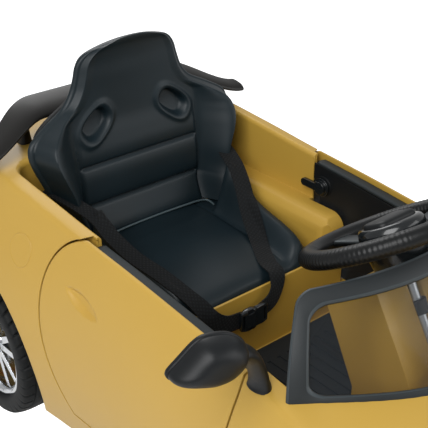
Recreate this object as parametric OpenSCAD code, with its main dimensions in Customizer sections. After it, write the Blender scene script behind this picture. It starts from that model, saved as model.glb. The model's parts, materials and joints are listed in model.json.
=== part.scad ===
// Child's car seat unit for a hairdressing salon.
// A sports-car shell with a bucket seat stands on a hydraulic pump base.
// Axes: the car faces -Y, +X is the rider's left, +Z is up.
// The origin is on the floor, on the pump axis.

/* [Car body] */
// Length of the moulded shell, nose to tail
car_len = 1230; // [1180:5:1280]
// Distance of the nose ahead of the pump axis
nose_reach = 615; // [605:5:625]
// Width over the wheel arches
car_w = 596; // [586:2:620]
// Width over the belt line
belt_w = 458; // [454:2:470]
// Height of the sill above the floor
sill_z = 335; // [325:1:345]
// Rise from the sill to the belt line at the rear axle
body_h = 350; // [340:2:365]
// Wall of the moulded shell
wall = 4; // [3:0.5:5]

/* [Cockpit] */
// Inner width of the cockpit tub
tub_w = 410; // [400:2:414]
// Front of the tub at the cowl, ahead of the pump axis
tub_front = 340; // [330:2:350]
// Rear wall of the tub behind the seat
tub_rear = 356; // [350:1:364]
// Height of the footwell floor
floor_z = 426; // [422:1:432]
// Foot of the toe board, ahead of the pump axis
toe_reach = 250; // [230:2:254]
// Front wall of the seat base
seat_base_y = 42; // [30:1:54]
// Floor of the seat recess
seat_floor_z = 515; // [505:1:522]
// Width of the seat recess
recess_w = 316; // [308:1:330]
// Height of the ledges beside the seat
ledge_z = 596; // [585:1:605]

/* [Doors] */
// Front seam of the door, ahead of the pump axis
door_front = 200; // [190:1:204]
// Rear seam of the door at the belt line
door_rear = 122; // [110:1:130]
// How far the rear seam sweeps back below the belt line
door_sweep = 84; // [70:1:96]
// Bottom seam of the door
door_low_z = 388; // [375:1:400]
// Lower edge of the entry opening
entry_low_z = 474; // [460:1:490]
// Gap round the door
door_gap = 3; // [2.5:0.1:3.5]
// Thickness of the door lining
lining_t = 19; // [16:0.5:20]
// Distance of the hinge pins from the middle of the car
hinge_x = 258; // [256:0.5:259]
// Radius of a hinge pin
hinge_pin_r = 3; // [2.5:0.1:3.5]
// Radius of the latch knob's round base
latch_r = 15; // [12:0.5:18]

/* [Seat] */
// Depth position of the crease between cushion and back
seat_y = 290; // [286:1:294]
// Height of the crease between cushion and back
seat_z = 560; // [555:1:565]
// Height of the seat back above the crease
back_h = 306; // [290:2:320]
// Widest part of the seat back
back_w = 388; // [376:2:400]
// Width of the cushion
cushion_w = 300; // [290:1:306]
// Depth of a bolster in front of the back panel
bolster_d = 44; // [30:1:52]
// Width of the belt webbing
webbing_w = 28; // [22:1:32]
// Thickness of the belt webbing
webbing_t = 2.4; // [1.8:0.2:3]

/* [Steering] */
// Radius of the steering wheel to the middle of its rim
wheel_rim_r = 106; // [100:1:110]
// Radius of the rim section
rim_tube_r = 12; // [10:0.5:13]
// Depth position of the steering wheel's centre, ahead of the pump axis
steer_reach = 207; // [204:1:210]
// Height of the steering wheel's centre
steer_z = 746; // [742:1:750]
// Lean of the column from upright
column_lean = 30; // [28:0.5:32]
// Radius of the column
column_r = 7; // [6:0.5:8]

/* [Windscreen] */
// Depth of the windscreen's foot on the middle line, ahead of the pump axis
screen_foot_y = 368; // [362:1:374]
// Height of the windscreen above its foot
screen_h = 108; // [100:1:112]
// Width of the windscreen at its foot
screen_w = 446; // [436:2:456]
// Width of the windscreen frame band
screen_band = 24; // [18:1:30]
// Thickness of the windscreen frame
screen_t = 6; // [5:0.5:8]

/* [Wheels] */
// Outer radius of the tyres
tyre_r = 125; // [120:1:128]
// Width of the tyres
tyre_w = 76; // [70:1:80]
// Outer radius of the rims
rim_r = 90; // [84:1:96]
// Height of the wheel axles
axle_z = 385; // [382:1:388]
// Front axle, ahead of the pump axis
front_reach = 412; // [406:1:418]
// Rear axle, behind the pump axis
rear_axle_y = 378; // [372:1:384]
// Radius of the wheel arch openings
arch_r = 162; // [158:1:168]
// Distance of the kingpins from the middle of the car
kingpin_x = 196; // [194:1:198]
// Height of the arch openings' centre above the axles
arch_rise = 14; // [0:1:16]
// Radius of the axle stubs
axle_r = 6; // [5:0.5:7]

/* [Pump base] */
// Radius of the floor plate
base_r = 300; // [280:5:330]
// Thickness of the floor plate at its rim
base_edge_t = 8; // [6:1:10]
// Thickness of the floor plate at the pump
base_hub_t = 24; // [20:1:28]
// Thickness of the rubber ring under the plate
pad_t = 4; // [3:0.5:6]
// Top of the pump cylinder
pump_top_z = 214; // [205:1:220]
// Radius of the ram
ram_r = 30; // [26:1:32]
// Stroke of the ram
pump_stroke = 130; // [110:5:135]
// Reach of the foot lever from the pump axis
lever_reach = 336; // [320:2:338]

/* [Hidden] */

// Overrun of a cutting tool past the face it cuts
cut = 2;
// Running clearance of a shaft in its bore, on the radius
run = 0.05;
// Clearance between pieces that lie close but don't touch
seat_gap = 0.3;
// Clearance hole beyond a screw's shank, on the radius
screw_gap = 0.3;

// Colours
body_yellow = "#C8A550";
seat_black = "#1C262A";
plastic_black = "#22262A";
trim_grey = "#4B5052";
steel = "#B9BDC1";
chrome = "#D7DADD";
rubber = "#26282A";
brass = "#B98F48";

// Round pieces use this many sides; round holes that carry something use the finer count
$fn = 48;
fine = 72;

// Places that follow from the driving sizes
nose_y = -nose_reach;
tail_y = car_len - nose_reach;
front_axle_y = -front_reach;
half_w = car_w / 2;
belt_half = belt_w / 2;
tub_half = tub_w / 2;
wheel_x = kingpin_x + tyre_w * 0.58;

function lerp(a, b, t) = a + (b - a) * t;
function smooth(t) = let (c = min(1, max(0, t))) c * c * (3 - 2 * c);
function bezier(a, b, c, d, t) =
    a * pow(1 - t, 3) + b * 3 * t * pow(1 - t, 2) + c * 3 * t * t * (1 - t) + d * pow(t, 3);
function glide(a, b, c, d, t) =
    0.5 * (2 * b + (c - a) * t + (2 * a - 5 * b + 4 * c - d) * t * t
        + (3 * b - a - 3 * c + d) * t * t * t);
function row_at(rows, i) = rows[max(0, min(len(rows) - 1, i))];
function glide_row(rows, i, t) =
    [for (k = [0:len(rows[0]) - 1])
        glide(row_at(rows, i - 1)[k], rows[i][k], row_at(rows, i + 1)[k], row_at(rows, i + 2)[k], t)];
// A smooth run through the rows, with a number of steps between each two
function glide_rows(rows, steps) =
    concat([for (i = [0:len(rows) - 2], s = [0:steps - 1]) glide_row(rows, i, s / steps)],
        [rows[len(rows) - 1]]);
// The value of column k where column 0 reaches x, along straight stretches
function table_value(rows, x, k) =
    let (i = min(len(rows) - 2, max(0, len([for (r = rows) if (r[0] <= x) 1]) - 1)))
    lerp(rows[i][k], rows[i + 1][k],
        min(1, max(0, (x - rows[i][0]) / (rows[i + 1][0] - rows[i][0]))));

// Closed skin through rings of points; each ring has the same count
module loft(rings) {
    n = len(rings[0]);
    m = len(rings);
    polyhedron(points = [for (r = rings) each r],
        faces = concat([[for (i = [0:n - 1]) i]],
            [for (k = [0:m - 2], i = [0:n - 1]) let (j = (i + 1) % n)
                each [[k * n + i, (k + 1) * n + i, k * n + j], [(k + 1) * n + i, (k + 1) * n + j, k * n + j]]],
            [[for (i = [n - 1:-1:0]) (m - 1) * n + i]]));
}

// Lofted pieces are cut and joined as one closed mesh
module moulding() {
    resize([0, 0, 0]) children();
}

module both_sides() {
    children();
    mirror([1, 0, 0]) children();
}

// Extrudes a side view, drawn as Y and Z, over a width that is centred on X
module side_profile(width) {
    rotate([90, 0, 90]) translate([0, 0, -width / 2]) linear_extrude(width) children();
}

// Ring with a bore
module tube(outer, inner, length) {
    difference() {
        cylinder(r = outer, h = length, $fn = fine);
        translate([0, 0, -cut]) cylinder(r = inner, h = length + 2 * cut, $fn = fine);
    }
}

// Car body shell
// Rows run from the nose to the tail. Shares: place along the length, half width at the arches,
// half width at the belt line, height of the belt line, height of the crown, lift of the underside
body_shares = [
    [0.000, 0.56, 0.50, 0.36, 0.38, 0.14],
    [0.022, 0.76, 0.72, 0.47, 0.50, 0.06],
    [0.070, 0.89, 0.90, 0.60, 0.65, 0.02],
    [0.130, 0.955, 0.985, 0.72, 0.765, 0.00],
    [0.177, 0.98, 1.02, 0.785, 0.825, 0.00],
    [0.236, 0.965, 1.03, 0.825, 0.868, 0.00],
    [0.305, 0.925, 1.015, 0.85, 0.90, 0.00],
    [0.380, 0.905, 1.00, 0.885, 0.92, 0.00],
    [0.512, 0.900, 1.00, 0.93, 0.95, 0.00],
    [0.620, 0.915, 1.00, 0.958, 0.98, 0.00],
    [0.720, 0.965, 1.00, 0.99, 1.01, 0.00],
    [0.820, 1.000, 0.985, 1.015, 1.045, 0.00],
    [0.900, 0.965, 0.93, 0.995, 1.03, 0.01],
    [0.960, 0.86, 0.82, 0.93, 0.96, 0.04],
    [0.990, 0.72, 0.68, 0.83, 0.86, 0.09],
    [1.000, 0.62, 0.58, 0.74, 0.77, 0.14]];
// Tuck-in of the body below its widest line, and how tightly the shoulder rolls over
tuck_share = 0.075;
shoulder_share = 0.11;

function body_ring(row, inset, side_n, top_n) =
    let (
        y = nose_y + row[0] * car_len,
        wide = row[1] * half_w - inset,
        belt = row[2] * belt_half - inset,
        z_belt = sill_z + row[3] * body_h - inset,
        z_crown = sill_z + row[4] * body_h - inset,
        z_low = sill_z + row[5] * body_h,
        low = wide * (1 - tuck_share),
        swell = (wide - (low + belt) / 8) * 4 / 3,
        side = [for (i = [0:side_n]) bezier([low, z_low], [swell, lerp(z_low, z_belt, 0.30)],
            [swell, lerp(z_low, z_belt, 0.62)], [belt, z_belt], i / side_n)],
        roll = shoulder_share * belt,
        top = [for (i = [1:top_n]) bezier([belt, z_belt], [belt - roll, z_belt + roll * 0.42],
            [belt * 0.5, z_crown], [0, z_crown], pow(i / top_n, 1.6))],
        // The inner form runs on down past the underside
        half = concat(inset > 0 ? [[low, sill_z - 4 * cut]] : [], side, top))
    concat([for (p = half) [-p[0], y, p[1]]],
        [for (i = [len(half) - 2:-1:0]) [half[i][0], y, half[i][1]]]);

module body_form(inset, steps, side_n, top_n) {
    rows = glide_rows(body_shares, steps);
    // The inner form stops one wall short of the nose and of the tail
    short = inset / car_len;
    fitted = [for (r = rows) concat([lerp(short, 1 - short, r[0])], [for (k = [1:5]) r[k]])];
    loft([for (r = fitted) body_ring(r, inset, side_n, top_n)]);
}

// Front edge of the tub opening in plan, an arc that the windscreen's foot stands on
screen_corner_x = screen_w / 2;
screen_bow = screen_foot_y * 0.30;
function foot_y(x) = -screen_foot_y + screen_bow * pow(abs(x) / screen_corner_x, 2);

module tub_plan(grow) {
    lip = wall + screen_t;
    polygon(concat(
        [for (i = [-8:8]) let (x = i / 8 * (tub_half + grow)) [x, foot_y(x) + lip - grow]],
        [[tub_half + grow, tub_rear + grow], [-tub_half - grow, tub_rear + grow]]));
}

// Hollow of the tub; grow is the wall that the second, larger copy adds
module tub_hollow(grow) {
    top_z = sill_z + 2 * body_h;
    // Shoulder space above the ledges
    translate([0, 0, ledge_z - grow]) linear_extrude(top_z - ledge_z) tub_plan(grow);
    // Footwell with its sloping toe board
    side_profile(tub_w + 2 * grow)
        polygon([[-toe_reach - grow, floor_z - grow], [seat_base_y + grow, floor_z - grow],
            [seat_base_y + grow, top_z - body_h], [-tub_front + wall + screen_t - grow, top_z - body_h],
            [-tub_front + wall + screen_t - grow, ledge_z - grow]]);
    // Seat recess between the ledges
    translate([-recess_w / 2 - grow, seat_base_y - wall, seat_floor_z - grow])
        cube([recess_w + 2 * grow, tub_rear - seat_base_y + wall + grow, top_z - seat_floor_z]);
}

// Low lip at the front of the seat recess, which holds the cushion
seat_lip_h = 22;
module seat_lip() {
    translate([-recess_w / 2, seat_base_y, seat_floor_z]) cube([recess_w, wall, seat_lip_h]);
}

// Side view of the door's outer skin: a straight front, a rear that sweeps back round the arch
door_top_z = sill_z + body_h * 1.2;
function door_rear_edge(t) =
    bezier([door_rear, sill_z + body_h * 0.97], [door_rear + door_sweep * 1.37, sill_z + body_h * 0.894],
        [door_rear + door_sweep, sill_z + body_h * 0.435],
        [door_rear + door_sweep * 0.15, door_low_z], t);
door_rake = 16;
module door_outline(shrink) {
    offset(delta = -shrink)
        polygon(concat([[-door_front + door_rake, door_low_z], [-door_front, sill_z + body_h * 0.80],
            [-door_front, door_top_z], [door_rear, door_top_z]],
            [for (i = [0:10]) door_rear_edge(i / 10)]));
}

// Opening that the rider steps through
module entry_outline(shrink) {
    corner = 30;
    offset(delta = -shrink)
        polygon([[-door_front + door_rake, entry_low_z], [-door_front, sill_z + body_h * 0.80],
            [-door_front, door_top_z], [door_rear, door_top_z], [door_rear, sill_z + body_h * 0.8],
            [door_rear - corner / 3, entry_low_z + corner], [door_rear - corner, entry_low_z]]);
}

module door_reach(from_x) {
    both_sides() translate([from_x, 0, 0]) rotate([90, 0, 90]) linear_extrude(car_w) children();
}

module body_shell() {
    column_hole = column_r * 2.4;
    color(body_yellow) moulding() difference() {
        union() {
            difference() {
                body_form(0, 3, 10, 7);
                difference() {
                    body_form(wall, 2, 8, 6);
                    tub_hollow(wall);
                }
                tub_hollow(0);
            }
            seat_lip();
        }
        // Wheel arches
        for (y = [front_axle_y, rear_axle_y])
            both_sides() translate([tub_half + 4 * wall, y, axle_z + arch_rise]) rotate([0, 90, 0])
                cylinder(r = arch_r, h = half_w, $fn = 56);
        // Doors and entry
        door_reach(tub_half + 2 * wall) door_outline(0);
        door_reach(tub_half - 2 * wall) entry_outline(0);
        // Keeper notches that the latch tabs pass when the doors swing
        both_sides() translate([tub_half - cut, latch_y, latch_z - latch_notch / 2])
            cube([wall * 3, latch_tab * 1.28, latch_notch]);
        // Passage of the steering column
        column_place() cylinder(r = column_hole, h = 2 * column_len, center = true, $fn = 24);
        // Seats of the lamps, the grille and the rear panel
        lamp_cuts();
    }
}

// Front and rear inserts
lamp_x_share = 0.60;
lamp_w = 92;
lamp_h = 44;
lamp_z = sill_z + body_h * 0.46;
grille_w = 250;
grille_h = 46;
grille_z = sill_z + body_h * 0.16;
tail_lamp_w = 330;
tail_lamp_h = 20;
tail_lamp_z = sill_z + body_h * 0.62;
diffuser_w = 300;
diffuser_h = 56;
insert_t = 26;
diffuser_z = sill_z + body_h * 0.24;

module rounded_bar(w, h, r) {
    offset(r = r, $fn = 24) square([w - 2 * r, h - 2 * r], center = true);
}

// Runs an outline, drawn as X and Z, along Y
module front_profile(y, depth) {
    translate([0, y + depth, 0]) rotate([90, 0, 0]) linear_extrude(depth) children();
}

module lamp_outline(shrink) {
    for (s = [-1, 1])
        translate([s * lamp_x_share * half_w, lamp_z]) rotate(s * 8) offset(delta = -shrink)
            scale([lamp_w / lamp_h, 1]) circle(d = lamp_h, $fn = 36);
}

module lamp_cuts() {
    front_profile(nose_y - cut, car_len * 0.12) lamp_outline(0);
    front_profile(nose_y - cut, car_len * 0.05) translate([0, grille_z])
        rounded_bar(grille_w, grille_h, grille_h * 0.4);
    front_profile(tail_y - car_len * 0.05, car_len * 0.05 + cut) translate([0, tail_lamp_z])
        rounded_bar(tail_lamp_w, tail_lamp_h, tail_lamp_h * 0.45);
    front_profile(tail_y - car_len * 0.05, car_len * 0.05 + cut) translate([0, diffuser_z])
        rounded_bar(diffuser_w, diffuser_h, diffuser_h * 0.2);
}

// Height of the shell's outer surface over a point, read from the same rings as the mesh
deck_rows = glide_rows(body_shares, 3);
function deck_row(y) = let (s = (y - nose_y) / car_len)
    concat([s], [for (k = [1:5]) table_value(deck_rows, s, k)]);
function deck_z(x, y) =
    let (ring = body_ring(deck_row(y), 0, 10, 7),
        top = [for (i = [17:-1:10]) [-ring[i][0], ring[i][2]]])
    table_value(top, abs(x), 1);
function belt_z(y) = sill_z + deck_row(y)[3] * body_h;

tie_t = 5;
// Steering column frame: origin at the wheel's centre, Z up the column, Y rearwards and down
pitman_z = axle_z + 7 * tie_t / 5;
column_fall = steer_z - pitman_z;
pitman_arm = 42;
column_len = (column_fall - pitman_arm * sin(column_lean)) / cos(column_lean);
pitman_y = -steer_reach - column_len * sin(column_lean) + pitman_arm * cos(column_lean);
tie_z = axle_z - tie_t * 1.1;
tie_y = pitman_y - (pitman_z - tie_z) * tan(column_lean);
steer_arm = tie_y - front_axle_y;
steer_pin_r = 4;

module column_place() {
    translate([0, -steer_reach, steer_z]) rotate([-column_lean, 0, 0]) children();
}

// Floor mat in the footwell
mat_t = 5;
mat_w = tub_w * 0.94;
mat_rib = 6;
module floor_mat() {
    mat_front = toe_reach - 2 * mat_t;
    mat_len = mat_front + seat_base_y - 2 * mat_t;
    ribs = floor(mat_w / (mat_rib * 4));
    color(plastic_black) difference() {
        translate([0, (seat_base_y - mat_front) / 2 - mat_t / 2, floor_z]) linear_extrude(mat_t)
            rounded_bar(mat_w, mat_len, mat_t * 4);
        // Ribbed tread: shallow channels along the mat
        for (i = [-ribs / 2:ribs / 2])
            translate([i * mat_rib * 3.4 - mat_rib / 2, -mat_front + 6 * mat_t, floor_z + mat_t * 0.6])
                cube([mat_rib, mat_len - 12 * mat_t, mat_t]);
    }
}

// Steering console: body-coloured tower that leans back with the column
console_w = 124;
console_top = 66;
module steering_console() {
    lean_y = -steer_reach - console_top * tan(column_lean);
    mat_top = floor_z + mat_t + seat_gap;
    color(body_yellow) moulding() difference() {
        intersection() {
            side_profile(console_w) offset(r = wall * 3, $fn = 24) offset(delta = -wall * 3)
                polygon([[-toe_reach + wall * 2, mat_top],
                    [-toe_reach + wall * 10, mat_top],
                    [-steer_reach - wall * 2, (floor_z + steer_z) / 2 - wall * 10],
                    [-steer_reach + wall * 12, steer_z - console_top - wall * 6],
                    [-steer_reach - wall * 7, steer_z - console_top + wall * 7],
                    [-tub_front + wall * 10, ledge_z + wall],
                    [-tub_front + wall * 8, ledge_z - wall * 6]]);
            // Rounded in plan, so that the tower has soft corners
            translate([0, lean_y, 0]) linear_extrude(steer_z)
                rounded_bar(console_w, 2 * car_w, wall * 5);
        }
        // Stays clear of the toe board behind it
        side_profile(console_w + 2 * cut)
            polygon([[-toe_reach + seat_gap, floor_z - cut], [-tub_front + wall + screen_t + seat_gap, ledge_z],
                [-tub_front + wall + screen_t + seat_gap, steer_z], [-car_w, steer_z], [-car_w, floor_z - cut]]);
        column_place() translate([0, 0, -column_len])
            cylinder(r = bush_r, h = column_len, $fn = 32);
    }
}

// Bushes that carry the column: one in the console's head, one on the sub-frame's bracket
bush_wall = 6;
bush_r = column_r + bush_wall;
bush_len = 18;
upper_bush_s = 98;
lower_bush_rise = 46;
lower_bush_s = column_len - lower_bush_rise;
module column_bushes() {
    color(plastic_black) column_place() for (s = [upper_bush_s, lower_bush_s])
        translate([0, 0, -s - bush_len / 2]) tube(bush_r - seat_gap, column_r + run, bush_len);
}

module steering_column() {
    color(steel) column_place() {
        translate([0, 0, -column_len]) cylinder(r = column_r, h = column_len - hub_t, $fn = fine);
        // Crank arm and its pin at the foot
        translate([0, 0, -column_len - tie_t / 2]) linear_extrude(tie_t) hull() {
            circle(r = column_r * 1.3);
            translate([0, pitman_arm]) circle(r = steer_pin_r * 1.75);
        }
        translate([0, pitman_arm, -column_len - tie_t / 2 - (pitman_z - tie_z) * 1.5])
            cylinder(r = steer_pin_r, h = (pitman_z - tie_z) * 1.5 + tie_t, $fn = 32);
    }
}

// Steering wheel: rim with ridged grips, two side spokes, one lower spoke and a dished hub
hub_r = 40;
hub_t = 20;
hub_drop = 14;
grip_ribs = 20;
horn_w = 66;
horn_h = 42;
horn_travel = 3;
horn_wall = 3;
module steering_wheel() {
    spoke_w = 30;
    spoke_t = 9;
    color(plastic_black) column_place() difference() {
        union() {
            rotate_extrude($fn = 96) translate([wheel_rim_r, 0]) scale([1, 0.86])
                circle(r = rim_tube_r, $fn = 32);
            // Ridges on the grips at each side
            for (side = [0, 180], i = [0:grip_ribs / 2 - 1])
                rotate(side + (i - grip_ribs / 4) * 9 + 2.5) rotate_extrude(angle = 4, $fn = 96)
                    translate([wheel_rim_r, 0]) scale([1, 0.86])
                        circle(r = rim_tube_r * 1.08, $fn = 16);
            for (a = [0, 180, 90])
                rotate(a) translate([hub_r * 0.6, -spoke_w / 2, -hub_drop])
                    rotate([0, -asin(hub_drop / (wheel_rim_r * 1.2)), 0])
                        cube([wheel_rim_r - hub_r * 0.6, spoke_w, spoke_t]);
            translate([0, 0, -hub_drop - hub_t / 2])
                cylinder(r1 = hub_r * 0.7, r2 = hub_r, h = hub_t / 2);
            translate([0, 0, -hub_drop]) cylinder(r = hub_r, h = hub_t);
            // Stepped housing under the hub
            translate([0, 0, -hub_drop - hub_t * 1.1]) cylinder(r = hub_r, h = hub_t * 1.1);
            translate([0, 0, -hub_drop - hub_t * 1.6]) cylinder(r = hub_r * 0.86, h = hub_t * 1.2);
        }
        // Pocket of the horn pad
        translate([0, 0, -hub_drop + hub_t - horn_travel * 3]) linear_extrude(hub_t)
            horn_outline(0);
        // Socket of the column
        translate([0, 0, -hub_drop - hub_t * 2])
            cylinder(r = column_r, h = hub_t * 2 + hub_drop - hub_t + seat_gap);
    }
}

module horn_outline(shrink) {
    offset(delta = -shrink) rounded_bar(horn_w, horn_h, horn_h * 0.28);
}

module horn_pad() {
    color(trim_grey) column_place()
        translate([0, 0, -hub_drop + hub_t - horn_travel * 3 + horn_travel + seat_gap]) union() {
            linear_extrude(horn_travel * 2.4) horn_outline(seat_gap * 2);
            translate([0, 0, horn_travel * 2.4]) linear_extrude(horn_travel / 2)
                horn_outline(horn_travel);
        }
}

// Seat cushion
cushion_front = seat_base_y + wall * 1.25;
cushion_rear = seat_y;
cushion_top = seat_z - seat_floor_z;
// Shares along the cushion: place, half width, height of the top, height of the side bolsters
cushion_shares = [
    [0.00, 0.78, 0.44, 0.00],
    [0.02, 0.85, 0.64, 0.12],
    [0.08, 0.90, 0.79, 0.46],
    [0.22, 0.94, 0.87, 0.62],
    [0.45, 0.97, 0.93, 0.78],
    [0.62, 0.98, 0.96, 1.10],
    [0.74, 1.00, 0.97, 1.55],
    [0.785, 1.00, 0.98, 1.76],
    [0.815, 1.00, 0.985, 1.60],
    [0.84, 1.00, 0.985, 0.02],
    [1.00, 1.00, 0.985, 0.00]];
function bolster_wave(u) = smooth((abs(u) - 0.66) / 0.20) * (1 - smooth((abs(u) - 0.90) / 0.10) * 0.75);
function cushion_row(y) = let (s = (y - cushion_front) / (cushion_rear - cushion_front))
    [for (k = [0:3]) table_value(cushion_rows, s, k)];
cushion_rows = glide_rows(cushion_shares, 2);
function cushion_height(row, u) =
    seat_floor_z + cushion_top * (row[2] * (1 - 0.10 * pow(abs(u), 4)) + row[3] * bolster_wave(u));
// Height of the cushion under a belt
function cushion_z(x, y) = let (row = cushion_row(y)) cushion_height(row, min(1, abs(x) / (row[1] * cushion_w / 2)));

module seat_cushion() {
    n = 22;
    color(seat_black) loft([for (row = cushion_rows)
        let (y = cushion_front + row[0] * (cushion_rear - cushion_front), w = row[1] * cushion_w / 2,
            low = seat_floor_z + seat_gap)
        concat([for (i = [0:n]) let (u = 2 * i / n - 1) [u * w, y, cushion_height(row, u)]],
            [[w * 1.0, y, lerp(low, seat_z, 0.45)], [w * 0.95, y, low], [-w * 0.95, y, low],
                [-w * 1.0, y, lerp(low, seat_z, 0.45)]])]);
}

// Seat back. Shares of the back's height: place, half width, set-back of the front,
// depth of the bolsters, thickness
back_shares = [
    [0.000, 0.76, 0.002, 0.85, 0.9],
    [0.120, 0.79, 0.055, 1.00, 1.0],
    [0.300, 0.86, 0.064, 1.00, 1.0],
    [0.450, 0.955, 0.078, 1.00, 1.0],
    [0.550, 1.000, 0.095, 0.92, 1.0],
    [0.620, 0.965, 0.105, 0.74, 1.0],
    [0.680, 0.830, 0.112, 0.55, 1.0],
    [0.740, 0.640, 0.116, 0.44, 1.0],
    [0.810, 0.500, 0.118, 0.38, 1.0],
    [0.900, 0.425, 0.118, 0.30, 1.0],
    [0.960, 0.385, 0.108, 0.18, 0.9],
    [0.990, 0.340, 0.085, 0.06, 0.7],
    [1.000, 0.300, 0.072, 0.00, 0.55]];
back_pad_t = 26;
shell_t = 11;
// Stitched channels across the back, as shares of its height
channel_shares = [0.158, 0.372];
channel_d = 5;
channel_r = 7;
function back_front(row, u) =
    let (z = row[0] * back_h,
        groove = max([for (c = channel_shares) max(0, 1 - abs(z - c * back_h) / channel_r)]))
    seat_y + row[2] * back_h - row[3] * bolster_d * smooth((abs(u) - 0.62) / 0.22)
        * (1 - 0.42 * smooth((abs(u) - 0.88) / 0.12))
        + groove * channel_d * (1 - smooth((abs(u) - 0.55) / 0.12));
function back_rear(row, u, depth) =
    seat_y + row[2] * back_h + row[4] * depth - bolster_d * 0.42 * row[3] * pow(abs(u), 4);
back_rows = glide_rows(back_shares, 3);
// Rows of the pad, with rings added at the floor and both edges of each channel
pad_rows = [for (z = pad_steps(back_rows, channel_shares)) concat([z], [for (k = [1:4]) table_value(back_rows, z, k)])];
function pad_steps(rows, shares) =
    let (edge = channel_r / back_h,
        plain = [for (r = rows) if (min([for (c = shares) abs(r[0] - c)]) > edge * 1.5) r[0]],
        extra = [for (c = shares, d = [-edge, 0, edge]) c + d])
    sorted(concat(plain, extra));
function sorted(v) = len(v) < 2 ? v :
    let (m = v[floor(len(v) / 2)])
    concat(sorted([for (x = v) if (x < m) x]), [m], sorted([for (x = v) if (x > m) x]));

// Half width of a row at a share u, and one line of points across the back at a depth
function back_x(row, u, fit) = u * row[1] * back_w / 2 * fit;
function back_line(row, n, depth, fit) = let (z = seat_z + seat_gap + row[0] * back_h)
    [for (i = [0:n]) let (u = 1 - 2 * i / n) [back_x(row, u, fit), back_rear(row, u, depth), z]];
function front_line(row, n) = let (z = seat_z + seat_gap + row[0] * back_h)
    [for (i = [0:n]) let (u = 2 * i / n - 1) [back_x(row, u, 1), back_front(row, u), z]];
rear_fit = 0.985;

recess_len = 50;
recess_h = 30;
recess_lean = 38;
recess_x = 78;
recess_z = seat_z + back_h * 0.58;
module seat_back_pad() {
    color(seat_black) moulding() difference() {
        loft([for (row = pad_rows) concat(front_line(row, 18), back_line(row, 8, back_pad_t, rear_fit))]);
        // Oval recesses where harness straps would pass
        both_sides() translate([recess_x, seat_y + back_h * 0.102 + back_pad_t / 2, recess_z])
            rotate([90, -recess_lean, 0]) linear_extrude(back_pad_t * 2)
                rounded_bar(recess_h, recess_len, recess_h * 0.48);
    }
}

// Plastic shell behind the upholstery, with a foot that stands in the seat recess
module seat_shell() {
    foot_w = back_w * 0.66;
    gap_t = back_pad_t + seat_gap * 1.5;
    color(plastic_black) moulding() union() {
        loft([for (row = pad_rows)
            let (front = back_line(row, 8, gap_t, rear_fit))
            concat([for (i = [8:-1:0]) front[i]], back_line(row, 8, gap_t + shell_t, 0.96))]);
        translate([-foot_w / 2, seat_y + back_pad_t, seat_floor_z + seat_gap])
            cube([foot_w, shell_t, seat_z - seat_floor_z]);
    }
}

// Lap belt: two webbing runs over the cushion to a buckle in front of the seat base
buckle_x = -14;
buckle_w = 44;
buckle_h = 34;
buckle_t = 12;
buckle_y = seat_base_y - buckle_t * 1.15;
buckle_z = seat_floor_z - webbing_w * 0.2;
belt_lift = 1;
// Each row holds a route point and the way its upper face looks
function on_cushion(x, y) =
    [[x, y, max([for (d = [-1.1:0.55:1.1], e = [-1, 1]) cushion_z(x + d * webbing_w / 2, y + e * webbing_w / 7)]) + belt_lift],
        [0, 0, 1]];
function over_cushion(way) = [for (i = [0:len(way) - 2], t = [0:0.25:0.75])
    let (p = lerp(way[i], way[i + 1], t)) on_cushion(p[0] * cushion_w / 2, lerp(cushion_front, cushion_rear, p[1]))];
// Both straps over the cushion: shares of its half width and its length, the near strap first
lap_ways = [[[-0.827, 0.695], [-0.76, 0.48], [-0.72, 0.26], [-0.693, 0.078], [-0.68, 0.037]],
    [[0.847, 0.679], [0.773, 0.531], [0.613, 0.309], [0.427, 0.111], [0.38, 0.045]]];
// Down its front: shares of the half width and of the cushion's height
lap_falls = [[[-0.653, 0.756], [-0.587, 0.378], [-0.44, -0.035]], [[0.333, 0.80], [0.28, 0.422], [0.20, 0.053]]];
fall_y = [cushion_front - wall * 0.75, buckle_y + wall, buckle_y];
belt_ends = [buckle_x - buckle_w * 0.61, buckle_x + buckle_w * 0.52];
anchor_r = 11;
anchor_x = recess_w / 2 - wall;
anchor_y = seat_y - anchor_r * 3;
anchor_z = ledge_z - anchor_r * 2;
crest_y = anchor_y - webbing_w * 0.64;
// From the anchor up the tub wall and over the crest of the bolster
function belt_start(side) = [[[side * anchor_x, anchor_y, anchor_z - webbing_w * 0.29], [-side, 0, 0]],
    [[side * anchor_x, anchor_y, anchor_z + webbing_w * 0.71], [-side, 0, 0]],
    [[side * (anchor_x - webbing_t), anchor_y - webbing_w * 0.29, anchor_z + webbing_w * 2], [-side * 0.9, 0, 0.4]],
    [[side * (anchor_x - webbing_w * 0.57), crest_y, cushion_z(anchor_x - webbing_w * 0.79, crest_y) + belt_lift * 3],
        [0, 0, 1]]];
function belt_route(i) = concat(belt_start(2 * i - 1), over_cushion(lap_ways[i]),
    [for (k = [0:2]) let (f = lap_falls[i][k])
        [[f[0] * cushion_w / 2, fall_y[k], seat_floor_z + f[1] * cushion_top], [0, -1, k == 0 ? 1 : 0]]],
    [[[belt_ends[i], buckle_y, buckle_z], [0, -1, 0]]]);
function unit(v) = v / norm(v);
module webbing(route) {
    n = len(route);
    loft([for (i = [0:n - 1])
        let (d = unit(route[min(n - 1, i + 1)][0] - route[max(0, i - 1)][0]),
            across = unit(cross(d, route[i][1])) * webbing_w / 2,
            up = unit(cross(across, d)) * webbing_t, p = route[i][0])
        [p + across, p - across, p - across + up, p + across + up]]);
}
module seat_belts() {
    color(plastic_black) for (i = [0, 1]) webbing(belt_route(i));
}

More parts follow.
